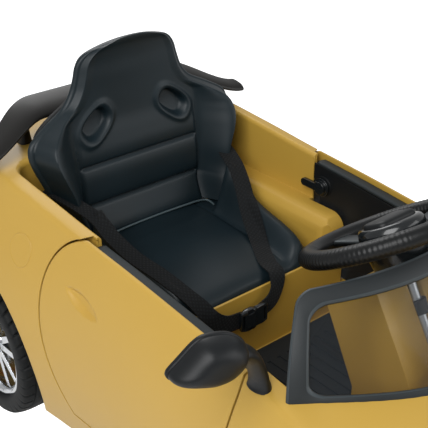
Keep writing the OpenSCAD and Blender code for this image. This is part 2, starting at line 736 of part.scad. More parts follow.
// Side-release buckle: socket and tongue
module belt_buckle() {
    color(plastic_black) translate([buckle_x, buckle_y - buckle_t * 0.55, buckle_z])
        rotate([90, 0, 0]) {
            translate([-buckle_w * 0.28, 0, -buckle_t / 2]) linear_extrude(buckle_t)
                rounded_bar(buckle_w * 0.52, buckle_h, buckle_h * 0.18);
            translate([buckle_w * 0.26, 0, -buckle_t * 0.3]) linear_extrude(buckle_t * 0.6)
                difference() {
                    rounded_bar(buckle_w * 0.5, buckle_h * 0.8, buckle_h * 0.18);
                    translate([buckle_w * 0.08, 0])
                        rounded_bar(buckle_w * 0.12, buckle_h * 0.6, buckle_w * 0.05);
                }
        }
}

module belt_anchors() {
    color(steel) both_sides()
        translate([anchor_x, anchor_y, anchor_z]) rotate([0, 90, 0]) cylinder(r = anchor_r, h = wall - seat_gap / 10);
}

// Windscreen: a sheet between its foot on the cowl and a narrower, straighter top edge
screen_top_w = 330;
screen_rake = 1.0;
screen_rows = 8;
screen_cols = 16;
function screen_foot(u) = let (x = u * screen_w / 2) [x, foot_y(x), deck_z(x, foot_y(x)) - screen_t];
function screen_top(u) =
    [u * screen_top_w / 2, -screen_foot_y + screen_h * screen_rake + screen_bow * 0.44 * u * u,
        deck_z(0, -screen_foot_y) + screen_h * (1 - 0.09 * u * u)];
// The sheet is a little hollow, and its side edges bow outwards
function screen_mid(u, v) = lerp(screen_foot(u), screen_top(u), v) + [u * screen_t * 1.3, -screen_t * 0.8, screen_t * 0.8] * sin(180 * v);
function screen_normal(u, v) =
    let (e = 0.02, a = screen_mid(u + e, v) - screen_mid(u - e, v), b = screen_mid(u, v + e) - screen_mid(u, v - e))
    unit(cross(a, b));
function screen_point(u, v, off) = screen_mid(u, v) + screen_normal(u, v) * off;

// Sheet between two depths; its foot runs into the cowl and is cut off there
module screen_sheet(front, rear) {
    loft([for (j = [0:screen_rows]) let (v = j / screen_rows)
        concat([for (i = [-screen_cols:2:screen_cols]) screen_point(i / screen_cols, v, front)],
            [for (i = [screen_cols:-2:-screen_cols]) screen_point(i / screen_cols, v, rear)])]);
}

// Outline of the pane in shares across and up the sheet
pane_u = 0.915;
pane_low = 0.075;
pane_high = 0.835;
function pane_outline(grow) =
    let (r = 0.16, gu = grow / (screen_w / 2), gv = grow / (screen_h * 1.4))
    concat(
        [for (i = [-6:6]) [(pane_u + gu) * i / 6, pane_low - gv]],
        [for (a = [0:15:90]) [pane_u + gu - r * (1 - cos(a)) * 0.8, pane_high + gv - r * (1 - sin(a))]],
        [for (i = [5:-1:-5]) [(pane_u + gu - r * 0.8) * i / 6, pane_high + gv]],
        [for (a = [90:-15:0]) [-(pane_u + gu - r * (1 - cos(a)) * 0.8), pane_high + gv - r * (1 - sin(a))]]);
module pane_cutter(grow) {
    line = pane_outline(grow);
    loft([for (off = [-screen_t * 3, screen_t * 3]) [for (p = line) screen_point(p[0], p[1], off)]]);
}

module windscreen_frame() {
    color(trim_grey) moulding() difference() {
        screen_sheet(screen_t, 0);
        pane_cutter(0);
        body_form(-seat_gap, 3, 10, 7);
    }
}

pane_t = 2.5;
module windscreen_glass() {
    color("#5B6468", 0.5) moulding() difference() {
        intersection() {
            screen_sheet(-seat_gap * 1.6, -seat_gap * 1.6 - pane_t);
            pane_cutter(wall * 1.5);
        }
        body_form(-seat_gap, 3, 10, 7);
    }
}

// Door mirrors on stalks that plug into the shell
mirror_x = 302;
mirror_y = -215;
mirror_z = sill_z + body_h * 1.089;
mirror_w = 92;
mirror_h = 56;
mirror_d = 40;
mirror_turn = 16;
mirror_glass_y = mirror_d * 0.30;
// Rows along the housing from its inner end: place, height, depth, rise, as shares
mirror_shares = [
    [0.00, 0.34, 0.40, -0.06],
    [0.05, 0.60, 0.66, -0.03],
    [0.18, 0.86, 0.92, 0.00],
    [0.40, 1.00, 1.00, 0.00],
    [0.65, 0.96, 0.94, -0.02],
    [0.85, 0.76, 0.74, -0.08],
    [0.96, 0.46, 0.44, -0.15],
    [1.00, 0.24, 0.24, -0.18]];
module mirror_place() {
    translate([mirror_x, mirror_y, mirror_z]) rotate([0, 0, mirror_turn]) children();
}
module mirror_housing() {
    rows = glide_rows(mirror_shares, 2);
    mirror_place() loft([for (r = rows) [for (k = [0:17]) let (a = k * 20,
            s = abs(cos(a)) < 0.001 ? 0 : sign(cos(a)), c = s * pow(abs(cos(a)), 0.8))
        [(r[0] - 0.5) * mirror_w,
            min(mirror_glass_y, -sin(a) * mirror_d * 0.62 * r[2]),
            (c * 0.5 * r[1] + r[3]) * mirror_h]]]);
    // Stalk down to the body side
    stalk_top = [mirror_x - mirror_w * 0.44, mirror_y - mirror_w * 0.12, mirror_z - mirror_h * 0.20];
    foot_y0 = mirror_y - mirror_w * 0.16;
    foot_x = belt_half * 0.99;
    hull() {
        translate(stalk_top) scale([1, 1.3, 0.8]) sphere(r = mirror_h * 0.20, $fn = 16);
        translate([foot_x, foot_y0, deck_z(foot_x - wall * 2, foot_y0) + wall * 0.5])
            scale([0.8, 1.7, 0.5]) sphere(r = mirror_h * 0.20, $fn = 16);
    }
}
module mirror_outline(shrink) {
    offset(delta = -shrink) scale([mirror_w * 0.80 / mirror_h, 0.70])
        circle(d = mirror_h, $fn = 36);
}
module mirror_housings() {
    color(plastic_black) moulding() difference() {
        both_sides() mirror_housing();
        // Recess of the mirror glass
        both_sides() mirror_place() translate([0, mirror_glass_y + wall * 2, -mirror_h * 0.03])
            rotate([90, 0, 0]) linear_extrude(wall * 3) mirror_outline(0);
        body_form(-seat_gap, 3, 10, 7);
    }
}
module mirror_glasses() {
    color(chrome) both_sides() mirror_place()
        translate([0, mirror_glass_y - seat_gap, -mirror_h * 0.03]) rotate([90, 0, 0])
            linear_extrude(wall - seat_gap * 1.2) mirror_outline(seat_gap);
}

// Rear wing: a blade that droops and sweeps forward at its ends, on two feet
wing_y = 408;
wing_z = sill_z + body_h * 1.191;
wing_half = 262;
// Rows from the middle outwards: place, set-back, height, chord, blade tilt, as shares and degrees
wing_rows = [for (i = [-10:10]) let (s = i / 10, a = abs(s))
    [s, -0.16 * smooth((a - 0.45) / 0.55), -0.24 * smooth((a - 0.40) / 0.60), 1 - 0.45 * smooth((a - 0.7) / 0.3)]];
wing_chord = 96;
wing_tilt = 32;
wing_t = 12;
module wing_blade() {
    loft([for (r = wing_rows)
        [for (k = [0:11]) let (a = k * 30, c = wing_chord * r[3],
                p = cos(a) * c / 2, q = sin(a) * wing_t / 2 * (1 - 0.35 * cos(a)))
            [r[0] * wing_half, wing_y + r[1] * wing_half + p * cos(wing_tilt) - q * sin(wing_tilt),
                wing_z + r[2] * wing_half + p * sin(wing_tilt) + q * cos(wing_tilt)]]]);
}
wing_foot_x = 150;
wing_foot_w = 16;
module rear_wing() {
    color(plastic_black) moulding() difference() {
        union() {
            wing_blade();
            both_sides() translate([wing_foot_x, 0, 0]) side_profile(wing_foot_w)
                polygon([[wing_y - wing_chord * 0.18, wing_z],
                    [wing_y + wing_chord * 0.26, wing_z + wing_chord * 0.1],
                    [wing_y + wing_chord * 0.46, sill_z + body_h * 0.9],
                    [wing_y - wing_chord * 0.30, sill_z + body_h * 0.9]]);
        }
        body_form(-seat_gap, 3, 10, 7);
    }
}

// Lamps and inserts follow the shell's surface, one wall thick, set in its openings
module shell_insert(thick, back) {
    intersection() {
        difference() {
            body_form(-seat_gap, 3, 8, 6);
            body_form(thick, 2, 8, 6);
        }
        children();
    }
}
module head_lamps() {
    color("#DDE3E6") moulding() shell_insert(insert_t * 0.5)
        front_profile(nose_y - cut, car_len * 0.12) lamp_outline(seat_gap);
}
module tail_lamps() {
    color("#A5242A") moulding() shell_insert(insert_t * 0.5)
        front_profile(tail_y - car_len * 0.05, car_len * 0.05 + cut) translate([0, tail_lamp_z])
            offset(delta = -seat_gap) rounded_bar(tail_lamp_w, tail_lamp_h, tail_lamp_h * 0.45);
}
grille_slats = 4;
module nose_grille() {
    color(plastic_black) moulding() shell_insert(insert_t * 0.4)
        front_profile(nose_y - cut, car_len * 0.05) translate([0, grille_z]) difference() {
            offset(delta = -seat_gap) rounded_bar(grille_w, grille_h, grille_h * 0.4);
            for (i = [0:grille_slats - 1])
                translate([0, (i - (grille_slats - 1) / 2) * grille_h * 0.20])
                    square([grille_w * (0.86 - 0.05 * abs(i - 1.5)), grille_h * 0.09], center = true);
        }
}
diffuser_fins = 4;
module rear_diffuser() {
    color(plastic_black) moulding() shell_insert(insert_t * 0.4)
        front_profile(tail_y - car_len * 0.05, car_len * 0.05 + cut) translate([0, diffuser_z])
            difference() {
                offset(delta = -seat_gap) rounded_bar(diffuser_w, diffuser_h, diffuser_h * 0.2);
                for (i = [0:diffuser_fins - 1])
                    translate([(i - (diffuser_fins - 1) / 2) * diffuser_w * 0.22, -diffuser_h * 0.08])
                        square([diffuser_w * 0.16, diffuser_h * 0.36], center = true);
            }
}

// Doors. The outer skin is a pan cut from the same form as the shell; a flat lining closes it.
lining_x = tub_half;
proud = 1;
setback = 25;
hinge_y = -door_front - setback;
barrel_r = hinge_pin_r * 2;
barrel_h = 14;
hinge_levels = [sill_z + body_h * 0.28, sill_z + body_h * 0.46];
module one_side(from_x) {
    translate([from_x, 0, 0]) rotate([90, 0, 90]) linear_extrude(car_w) children();
}
module door_pan() {
    moulding() difference() {
        intersection() {
            body_form(0, 3, 10, 7);
            one_side(lining_x + lining_t - proud + seat_gap) door_outline(door_gap);
        }
        intersection() {
            body_form(wall, 2, 8, 6);
            one_side(lining_x + lining_t - proud - cut) door_outline(door_gap + wall);
        }
    }
}
module door(side) {
    color(body_yellow) mirror([side > 0 ? 0 : 1, 0, 0]) door_pan();
}

// Lining with a bevelled top, speaker grooves and two hinge arms that reach round the pan
groove_n = 6;
groove_w = 2.4;
groove_d = 3;
lining_drop = 9;
module door_lining() {
    low = entry_low_z + door_gap;
    difference() {
        union() {
            intersection() {
                one_side(lining_x - proud) intersection() {
                    entry_outline(door_gap);
                    polygon([[-car_len / 2, entry_low_z], [car_len / 2, entry_low_z],
                        [car_len / 2, belt_z(car_len / 2) - lining_drop],
                        [door_rear, belt_z(door_rear) - lining_drop],
                        [-door_front, belt_z(-door_front) - lining_drop],
                        [-car_len / 2, belt_z(-door_front) - lining_drop * 2]]);
                }
                translate([lining_x - proud, -car_len / 2, 0])
                    cube([lining_t, car_len, 2 * car_len]);
            }
            for (z = hinge_levels)
                hinge_arm(z);
            // Strap that joins both arms to the lining
            translate([hinge_arm_x, hinge_y + barrel_r + seat_gap, hinge_levels[0] - barrel_h / 2])
                cube([arm_t, setback + door_rake * 1.6 - barrel_r,
                    hinge_levels[1] - hinge_levels[0] + barrel_h]);
            // Boss of the latch knob
            latch_place() translate([0, 0, -wall])
                cylinder(r = latch_r * 1.15, h = wall + boss_proud, $fn = fine);
        }
        for (i = [0:groove_n - 1])
            translate([lining_x - proud - cut, -door_front * 0.35 - i * groove_w * 3.4, low + body_h * 0.16])
                rotate([-12, 0, 0]) cube([groove_d + cut, groove_w, body_h * 0.14]);
        for (z = hinge_levels)
            translate([hinge_x, hinge_y, z - barrel_h])
                cylinder(r = hinge_pin_r + run, h = 2 * barrel_h, $fn = fine);
        latch_place() translate([0, 0, -latch_pin_len - seat_gap])
            cylinder(r = latch_pin_r + run, h = latch_pin_len + 3 * wall, $fn = fine);
    }
}
arm_t = 10;
hinge_arm_x = lining_x + wall * 2;
module hinge_arm(z) {
    translate([0, 0, z - barrel_h / 2]) linear_extrude(barrel_h) {
        translate([hinge_arm_x, hinge_y - barrel_r])
            square([arm_t, setback + door_rake * 1.6 + barrel_r]);
        translate([hinge_arm_x, hinge_y - barrel_r]) square([hinge_x - hinge_arm_x, 2 * barrel_r]);
        translate([hinge_x, hinge_y]) circle(r = barrel_r);
    }
}
module side_lining(side) {
    color(plastic_black) mirror([side > 0 ? 0 : 1, 0, 0]) door_lining();
}

// Hinge posts on the tub wall: an ear above and below each barrel, and the pin
module hinge_post() {
    ear_t = 4;
    post_x = tub_half + wall + seat_gap;
    for (z = hinge_levels) {
        for (s = [-1, 1])
            translate([0, 0, z + s * (barrel_h / 2 + seat_gap + ear_t / 2) - ear_t / 2])
                linear_extrude(ear_t) {
                    translate([post_x, hinge_y - barrel_r])
                        square([hinge_x - post_x, 2 * barrel_r]);
                    translate([hinge_x, hinge_y]) circle(r = barrel_r);
                }
        translate([hinge_x, hinge_y, z - barrel_h / 2 - ear_t])
            cylinder(r = hinge_pin_r, h = barrel_h + 2 * ear_t, $fn = fine);
        translate([post_x, hinge_y - barrel_r * 2.2, z - barrel_h / 2 - ear_t - seat_gap])
            cube([ear_t / 2, barrel_r * 3.2, barrel_h + 2 * ear_t + 2 * seat_gap]);
    }
}
module door_pins() {
    color(steel) both_sides() hinge_post();
}

// Turn latch on the lining, near the rear seam
latch_y = door_rear - 24;
latch_z = belt_z(door_rear) - 44;
latch_pin_r = 4;
latch_tab = 40;
latch_t = 6;
latch_notch = 18;
latch_pin_len = 13;
boss_proud = 1.5;
module latch_place() {
    translate([lining_x - proud, latch_y, latch_z]) rotate([0, -90, 0]) children();
}
module latch_knob(side) {
    low = boss_proud + seat_gap;
    end_r = latch_r * 0.42;
    color(plastic_black) mirror([side > 0 ? 0 : 1, 0, 0]) latch_place() {
        translate([0, 0, low]) cylinder(r = latch_r, h = latch_t * 0.6, $fn = fine);
        translate([0, 0, low + latch_t * 0.6]) linear_extrude(latch_t) {
            circle(r = latch_r * 0.72);
            translate([-end_r, 0]) square([2 * end_r, latch_tab - end_r]);
            translate([0, latch_tab - end_r]) circle(r = end_r);
        }
        translate([0, 0, -latch_pin_len])
            cylinder(r = latch_pin_r, h = latch_pin_len + latch_t, $fn = fine);
    }
}

// Wheels turn about X. Everything is drawn with Z along the axle, pointing outwards.
module wheel_place(side, y) {
    translate([side * wheel_x, y, axle_z]) rotate([0, side * 90, 0]) children();
}
tread_grooves = 3;
groove_width = 4;
tread_crown = 3;
bead_round = 9;
bead_rise = 6;
module tyre(side, y) {
    edge = tyre_w / 2;
    shoulder_r = tyre_r - tread_crown - bead_round;
    color(rubber) wheel_place(side, y) rotate_extrude($fn = 96) difference() {
        polygon(concat([[rim_r, -edge * 0.82], [rim_r + bead_rise, -edge]],
            [for (a = [0:15:90]) [shoulder_r + bead_round * sin(a), -edge + bead_round * (1 - cos(a))]],
            [[tyre_r, -edge * 0.3], [tyre_r, edge * 0.3]],
            [for (a = [90:-15:0]) [shoulder_r + bead_round * sin(a), edge - bead_round * (1 - cos(a))]],
            [[rim_r + bead_rise, edge], [rim_r, edge * 0.82]]));
        for (i = [0:tread_grooves - 1])
            translate([tyre_r - tread_crown, (i - 1) * edge * 0.5 - groove_width / 2])
                square([2 * tread_crown, groove_width]);
        // Hollow of the blow-moulded tyre
        translate([rim_r - cut, -edge * 0.6])
            square([tyre_r - rim_r - 4 * tread_crown + cut, edge * 1.2]);
    }
}

spokes = 5;
rim_wall = 5;
rim_lip = 2;
rim_outer_z = tyre_w / 2 * 0.82;
spoke_z = rim_outer_z - 3.2 * rim_wall;
spoke_root_w = 13;
spoke_tip_w = 9;
boss_r = 14;
boss_len = 38;
boss_back = 32;
cap_r = 22;
nut_r = 9;
nut_t = 7;
module rim(side, y) {
    reach = rim_r - rim_wall;
    spoke_end = rim_r - rim_wall / 2;
    color(chrome) wheel_place(side, y) difference() {
        union() {
            rotate_extrude($fn = fine)
                polygon([[rim_r, -rim_outer_z], [rim_r, rim_outer_z], [rim_r - rim_lip * 2, rim_outer_z + rim_lip],
                    [rim_r - rim_wall * 2, rim_outer_z - rim_lip],
                    [rim_r - rim_wall * 2.4, rim_outer_z - rim_wall * 2],
                    [reach, spoke_z], [reach, rim_wall - rim_outer_z],
                    [rim_r - rim_wall * 1.6, -rim_outer_z]]);
            // Paired spokes, joined as one outline
            translate([0, 0, spoke_z - rim_wall * 0.8]) linear_extrude(rim_wall * 2.2) offset(delta = 0)
                for (i = [0:spokes - 1], s = [-1, 1])
                    rotate(i * 360 / spokes + s * 13)
                        polygon([[boss_r * 0.8, -spoke_root_w / 2], [spoke_end, -spoke_tip_w / 2 + s * rim_lip],
                            [spoke_end, spoke_tip_w / 2 + s * rim_lip], [boss_r * 0.8, spoke_root_w / 2]]);
            translate([0, 0, spoke_z - boss_back]) cylinder(r = boss_r, h = boss_len, $fn = fine);
            translate([0, 0, spoke_z - rim_wall * 1.2])
                cylinder(r1 = cap_r, r2 = cap_r * 0.85, h = 3.6 * rim_wall, $fn = fine);
        }
        translate([0, 0, -tyre_w]) cylinder(r = axle_r + run, h = tyre_w + spoke_z, $fn = fine);
        // Pocket for the axle nut under the cap
        translate([0, 0, spoke_z]) cylinder(r = nut_r + cut, h = nut_t * 1.4, $fn = fine);
    }
}

// Axle stub with its nut, drawn in the wheel's own frame from a given depth
module axle_end(from_z) {
    translate([0, 0, from_z]) cylinder(r = axle_r, h = spoke_z + seat_gap * 2 - from_z, $fn = fine);
    translate([0, 0, spoke_z + seat_gap]) cylinder(r = nut_r, h = nut_t, $fn = 6);
}

// Brake caliper, seen between the spokes, and the bridge that holds it behind the rim's boss
caliper_z = -24;
caliper_h = 27;
bridge_t = 6;
bridge_w = 14;
caliper_arc = 56;
caliper_turn = 152;
module caliper(side) {
    turn = side > 0 ? caliper_turn : caliper_turn - 180;
    rotate(turn) translate([0, 0, caliper_z]) rotate_extrude(angle = caliper_arc, $fn = fine)
        translate([rim_r * 0.60, 0]) square([rim_r * 0.22, caliper_h]);
    rotate(turn + caliper_arc / 2) translate([0, -bridge_w / 2, caliper_z])
        cube([rim_r * 0.62, bridge_w, bridge_t]);
}
knuckle_w = 24;
knuckle_drop = 14;
arm_plate_t = 6;
module knuckle(side) {
    beam_z = frame_z + rail_wall;
    color(steel) {
        translate([side * kingpin_x, front_axle_y, 0]) {
            translate([-knuckle_w / 2, -knuckle_w / 2, axle_z - knuckle_drop])
                cube([knuckle_w, knuckle_w, beam_z - seat_gap * 2 - axle_z + knuckle_drop]);
            translate([0, 0, axle_z])
                cylinder(r = kingpin_r, h = frame_z + rail + kingpin_r - axle_z, $fn = fine);
            // Steering arm and its pin
            translate([0, 0, axle_z - arm_plate_t / 3]) linear_extrude(arm_plate_t) hull() {
                circle(r = knuckle_w / 2);
                translate([0, steer_arm]) circle(r = steer_pin_r * 2);
            }
            translate([0, steer_arm, tie_z - tie_t])
                cylinder(r = steer_pin_r, h = axle_z - tie_z + tie_t, $fn = 32);
        }
        wheel_place(side, front_axle_y) {
            axle_end(kingpin_x - wheel_x);
            caliper(side);
        }
    }
}

// Tie rod: a flat bar with a slot over each pin, so that the pins can swing
tie_w = 30;
tie_play = 1.4;
tie_slot = 17;
module tie_rod() {
    color(steel) translate([0, tie_y, tie_z - tie_t / 2]) difference() {
        linear_extrude(tie_t) hull() for (s = [-1, 1]) translate([s * kingpin_x, 0])
            circle(d = tie_w);
        for (x = [-kingpin_x, 0, kingpin_x])
            translate([x, 0, -cut]) linear_extrude(tie_t + 2 * cut)
                rounded_bar(steer_pin_r * 2 + tie_play, tie_slot + (x == 0 ? 3 * cut : 0), steer_pin_r);
    }
}

// Steel frame under the shell
rail = 30;
rail_wall = 3;
rail_x = 92;
frame_z = floor_z - wall - rail;
kingpin_r = 6;
eye_r = 13;
frame_rear = rear_axle_y + 50;
cross_y = rail * 3.4;
column_foot_y = -steer_reach - lower_bush_s * sin(column_lean) - rail_wall;
column_foot_z = steer_z - lower_bush_s * cos(column_lean);
module box_bar(from, size) {
    translate(from) cube(size);
}
module sub_frame() {
    post_x = bush_r + rail_wall;
    color(plastic_black) difference() {
        union() {
            for (s = [-1, 1])
                box_bar([s * rail_x - rail / 2, front_axle_y - rail / 2, frame_z],
                    [rail, frame_rear - front_axle_y + rail / 2, rail]);
            for (y = [front_axle_y, -cross_y, cross_y, rear_axle_y])
                box_bar([-rail_x, y - rail / 2, frame_z], [2 * rail_x, rail, rail]);
            // Front beam out to the kingpin eyes
            box_bar([-kingpin_x, front_axle_y - eye_r * 0.8, frame_z + rail_wall],
                [2 * kingpin_x, eye_r * 1.6, rail - rail_wall]);
            for (s = [-1, 1]) {
                translate([s * kingpin_x, front_axle_y, frame_z + rail_wall])
                    cylinder(r = eye_r, h = rail - rail_wall, $fn = fine);
                // Risers under the seat base and brackets that hold the rear axle
                for (y = [cross_y, rear_axle_y - rail * 2])
                    box_bar([s * rail_x - rail / 2, y - rail / 2, frame_z],
                        [rail, rail, seat_floor_z - wall - frame_z]);
                box_bar([s * rail_x - rail / 2, rear_axle_y - rail / 2, axle_z - rail * 0.6],
                    [rail, rail, rail]);
                // Posts of the column's lower bush
                box_bar([s * post_x - rail_wall / 2, column_foot_y, frame_z + rail / 2],
                    [rail_wall, rail * 0.9, column_foot_z - frame_z - rail * 0.3]);
            }
            column_place() translate([0, 0, -lower_bush_s - bush_len * 0.4])
                cylinder(r = post_x, h = bush_len * 0.8, $fn = fine);
            box_bar([-rail_x, column_foot_y, frame_z + rail / 2], [2 * rail_x, rail * 0.9, rail / 2]);
        }
        // Kingpin bores
        for (s = [-1, 1])
            translate([s * kingpin_x, front_axle_y, frame_z - cut])
                cylinder(r = kingpin_r + run, h = rail + 2 * cut, $fn = fine);
        // Rear axle seats
        translate([-half_w, rear_axle_y, axle_z]) rotate([0, 90, 0])
            cylinder(r = axle_r, h = car_w, $fn = fine);
        column_place() translate([0, 0, -column_len - column_r])
            cylinder(r = bush_r, h = column_len, $fn = fine);
        // Threads of the mounting plate's bolts
        bolt_places() cylinder(r = bolt_r, h = 4 * rail, center = true, $fn = fine);
    }
}

// One axle through both brackets, drawn as two halves that meet on the middle line
module rear_axle() {
    color(steel) for (s = [-1, 1]) wheel_place(s, rear_axle_y) axle_end(-wheel_x);
}

caliper_post_r = 18;
module rear_calipers() {
    inboard = wheel_x - rail_x - rail / 2 - seat_gap;
    color("#C9A227") for (s = [-1, 1]) wheel_place(s, rear_axle_y) difference() {
        union() {
            caliper(s);
            translate([0, 0, -inboard])
                cylinder(r = caliper_post_r, h = inboard + caliper_z + bridge_t, $fn = fine);
        }
        translate([0, 0, -wheel_x]) cylinder(r = axle_r + screw_gap, h = 2 * wheel_x, $fn = fine);
    }
}

// Mounting plate between the frame and the swivel
plate_w = 240;
plate_d = 260;
plate_t = 6;
plate_corner = 18;
bolt_r = 5;
bolt_inset = 25;
module bolt_places() {
    for (x = [-rail_x, rail_x], y = [bolt_inset - plate_d / 2, plate_d / 2 - bolt_inset])
        translate([x, y, frame_z]) children();
}
module mount_plate() {
    color(steel) difference() {
        translate([0, 0, frame_z - plate_t]) linear_extrude(plate_t)
            rounded_bar(plate_w, plate_d, plate_corner);
        bolt_places()
            cylinder(r = bolt_r + screw_gap, h = 4 * plate_t, center = true, $fn = fine);
        translate([0, 0, frame_z - 2 * plate_t])
            cylinder(r = spigot_r * 1.2, h = 3 * plate_t, $fn = fine);
    }
}
module plate_bolts() {
    color(steel) bolt_places() translate([0, 0, -plate_t]) {
        translate([0, 0, -bolt_r * 1.2]) cylinder(r = bolt_r * 1.7, h = bolt_r * 1.2, $fn = 6);
        cylinder(r = bolt_r, h = plate_t + rail - wall, $fn = fine);
    }
}

// Swivel and hydraulic pump
spigot_r = 20;
washer_t = 3;
hub_h = 34;
hub_flange_r = 88;
shoulder_z = frame_z - plate_t - hub_h;
ram_flange_r = 44;
flange_t = 8;
oil_floor_t = 10;
cylinder_floor_z = pad_t + base_hub_t + oil_floor_t;
module swivel_hub() {
    low = shoulder_z + washer_t;
    color(steel) difference() {
        union() {
            translate([0, 0, low])
                cylinder(r = ram_flange_r + cut, h = frame_z - plate_t - low, $fn = fine);
            translate([0, 0, frame_z - plate_t - flange_t])
                cylinder(r = hub_flange_r, h = flange_t, $fn = fine);
        }
        translate([0, 0, low - cut]) cylinder(r = spigot_r + run, h = car_len, $fn = fine);
    }
}
module thrust_washer() {
    color(brass) translate([0, 0, shoulder_z]) tube(ram_flange_r, spigot_r, washer_t - run);
}
module pump_ram() {
    low = cylinder_floor_z + seat_gap;
    color(chrome) {
        translate([0, 0, low]) cylinder(r = ram_r, h = shoulder_z - flange_t - low, $fn = fine);
        translate([0, 0, shoulder_z - flange_t])
            cylinder(r = ram_flange_r, h = flange_t, $fn = fine);
        translate([0, 0, shoulder_z - run])
            cylinder(r = spigot_r, h = frame_z - shoulder_z - plate_t / 2, $fn = fine);
    }
}
gland_t = 12;
cylinder_wall = 9;
shroud_r = 56;
shroud_t = 3;
lever_z = 92;
module pump_cylinder() {
    low = pad_t + base_hub_t;
    color(steel) difference() {
        translate([0, 0, low])
            cylinder(r = ram_r + cylinder_wall, h = pump_top_z - low, $fn = fine);
        translate([0, 0, cylinder_floor_z]) cylinder(r = ram_r + run, h = pump_top_z, $fn = fine);
    }
}
module pump_gland() {
    color(plastic_black) translate([0, 0, pump_top_z]) rotate_extrude($fn = fine)
        polygon([[ram_r + run, 0], [shroud_r, 0], [shroud_r, gland_t / 2], [shroud_r - gland_t / 3, gland_t],
            [ram_r + run, gland_t]]);
}
foot_r = 92;
foot_t = 8;
screw_r = 4;
screw_inset = 14;
foot_screws = 4;
module screw_places() {
    for (i = [0:foot_screws - 1])
        rotate(45 + i * 360 / foot_screws) translate([foot_r - screw_inset, 0, pad_t + base_hub_t])
            children();
}
slot_w = 26;
cheek_t = 8;
cheek_len = 34;
pin_out = 10;
pin_x = -shroud_r - pin_out;
module pump_shroud() {
    low = pad_t + base_hub_t;
    color(chrome) difference() {
        union() {
            translate([0, 0, low]) cylinder(r = shroud_r, h = pump_top_z - low, $fn = fine);
            translate([0, 0, low]) rotate_extrude($fn = fine)
                polygon([[shroud_r - shroud_t, 0], [foot_r, 0], [foot_r, foot_t * 0.6],
                    [foot_r - shroud_t, foot_t], [shroud_r + foot_t, foot_t], [shroud_r, foot_t * 2],
                    [shroud_r - shroud_t, foot_t * 2]]);
            // Cheeks that carry the lever's pin
            for (s = [-1, 1])
                translate([pin_x - cheek_len / 3, s * (slot_w + cheek_t) / 2 - cheek_t / 2, lever_z - cheek_len / 2])
                    cube([cheek_len, cheek_t, cheek_len]);
        }
        translate([0, 0, low - cut]) cylinder(r = shroud_r - shroud_t, h = pump_top_z, $fn = fine);
        screw_places() cylinder(r = screw_r + screw_gap, h = 4 * foot_t, center = true, $fn = fine);
        // Slot for the lever
        translate([pin_x - cheek_len, -slot_w / 2, lever_z - cheek_len * 0.9])
            cube([2 * cheek_len, slot_w, cheek_len * 1.7]);
        translate([pin_x, -half_w, lever_z]) rotate([-90, 0, 0])
            cylinder(r = lever_pin_r, h = car_w, $fn = fine);
    }
}
lever_pin_r = 6;
lever_pin_len = slot_w + 3 * cheek_t;
module lever_pin() {
    color(steel) translate([pin_x, -lever_pin_len / 2, lever_z]) rotate([-90, 0, 0])
        cylinder(r = lever_pin_r, h = lever_pin_len, $fn = fine);
}
lever_w = 22;
lever_t = 10;
lever_rise = 60;
lever_nose = 16;
tread_len = 84;
tread_w = 46;
lever_top_z = lever_z + lever_rise;
module pump_lever() {
    boss = lever_pin_r * 2;
    bend_x = -lever_reach + tread_len;
    color(chrome) difference() {
        union() {
            translate([pin_x, -lever_w / 2, lever_z]) rotate([-90, 0, 0])
                cylinder(r = boss, h = lever_w, $fn = fine);
            // Side view of the lever: short nose inside, long arm outside
            rotate([90, 0, 0]) linear_extrude(lever_w, center = true)
                polygon([[pin_x + lever_nose, lever_z - lever_t / 2], [pin_x + lever_nose, lever_z + lever_t / 2],
                    [pin_x - lever_nose, lever_z + lever_t / 2], [bend_x, lever_top_z + lever_t / 2],
                    [bend_x, lever_top_z - lever_t / 2], [pin_x - lever_nose, lever_z - lever_t / 2]]);
            translate([-lever_reach, -lever_w / 2, lever_top_z - lever_t / 2])
                cube([tread_len + seat_gap, lever_w, lever_t]);
        }
        translate([pin_x, -lever_w, lever_z]) rotate([-90, 0, 0])
            cylinder(r = lever_pin_r + run, h = 2 * lever_w, $fn = fine);
    }
}
tread_ribs = 7;
tread_wall = 4;
tread_rib = 2;
module lever_tread() {
    pitch = (tread_len - 2 * tread_wall) / tread_ribs;
    color(rubber) difference() {
        union() {
            translate([-lever_reach - tread_wall, -tread_w / 2, lever_top_z - lever_t / 2 - tread_wall])
                cube([tread_len, tread_w, lever_t + 2 * tread_wall]);
            for (i = [0:tread_ribs - 1])
                translate([-lever_reach + (i + 0.2) * pitch, -tread_w / 2,
                        lever_top_z + lever_t / 2 + tread_wall - tread_rib / 2])
                    cube([tread_rib * 2, tread_w, tread_rib * 1.5]);
        }
        translate([-lever_reach, -lever_w / 2, lever_top_z - lever_t / 2])
            cube([tread_len + cut, lever_w, lever_t]);
    }
}
module base_screws() {
    bite = base_hub_t * 0.6;
    color(steel) screw_places() {
        translate([0, 0, -bite]) cylinder(r = screw_r, h = foot_t + bite, $fn = fine);
        translate([0, 0, foot_t]) cylinder(r = screw_r * 1.8, h = screw_r, $fn = fine);
    }
}
rim_round = 3;
module base_plate() {
    flat_r = foot_r * 1.07;
    color(chrome) difference() {
        rotate_extrude($fn = 120)
            polygon(concat([[0, pad_t], [base_r - rim_round, pad_t], [base_r, pad_t + rim_round * 0.7],
                [base_r, pad_t + base_edge_t - rim_round], [base_r - rim_round, pad_t + base_edge_t]],
                [for (i = [1:8]) let (t = i / 8)
                    [lerp(base_r * 0.96, flat_r, t), pad_t + lerp(base_edge_t, base_hub_t, smooth(t))]],
                [[0, pad_t + base_hub_t]]));
        screw_places() cylinder(r = screw_r, h = base_hub_t * 1.2, center = true, $fn = fine);
    }
}
pad_inset = 8;
pad_w = 36;
module base_pad() {
    color(rubber) tube(base_r - pad_inset, base_r - pad_inset - pad_w, pad_t);
}

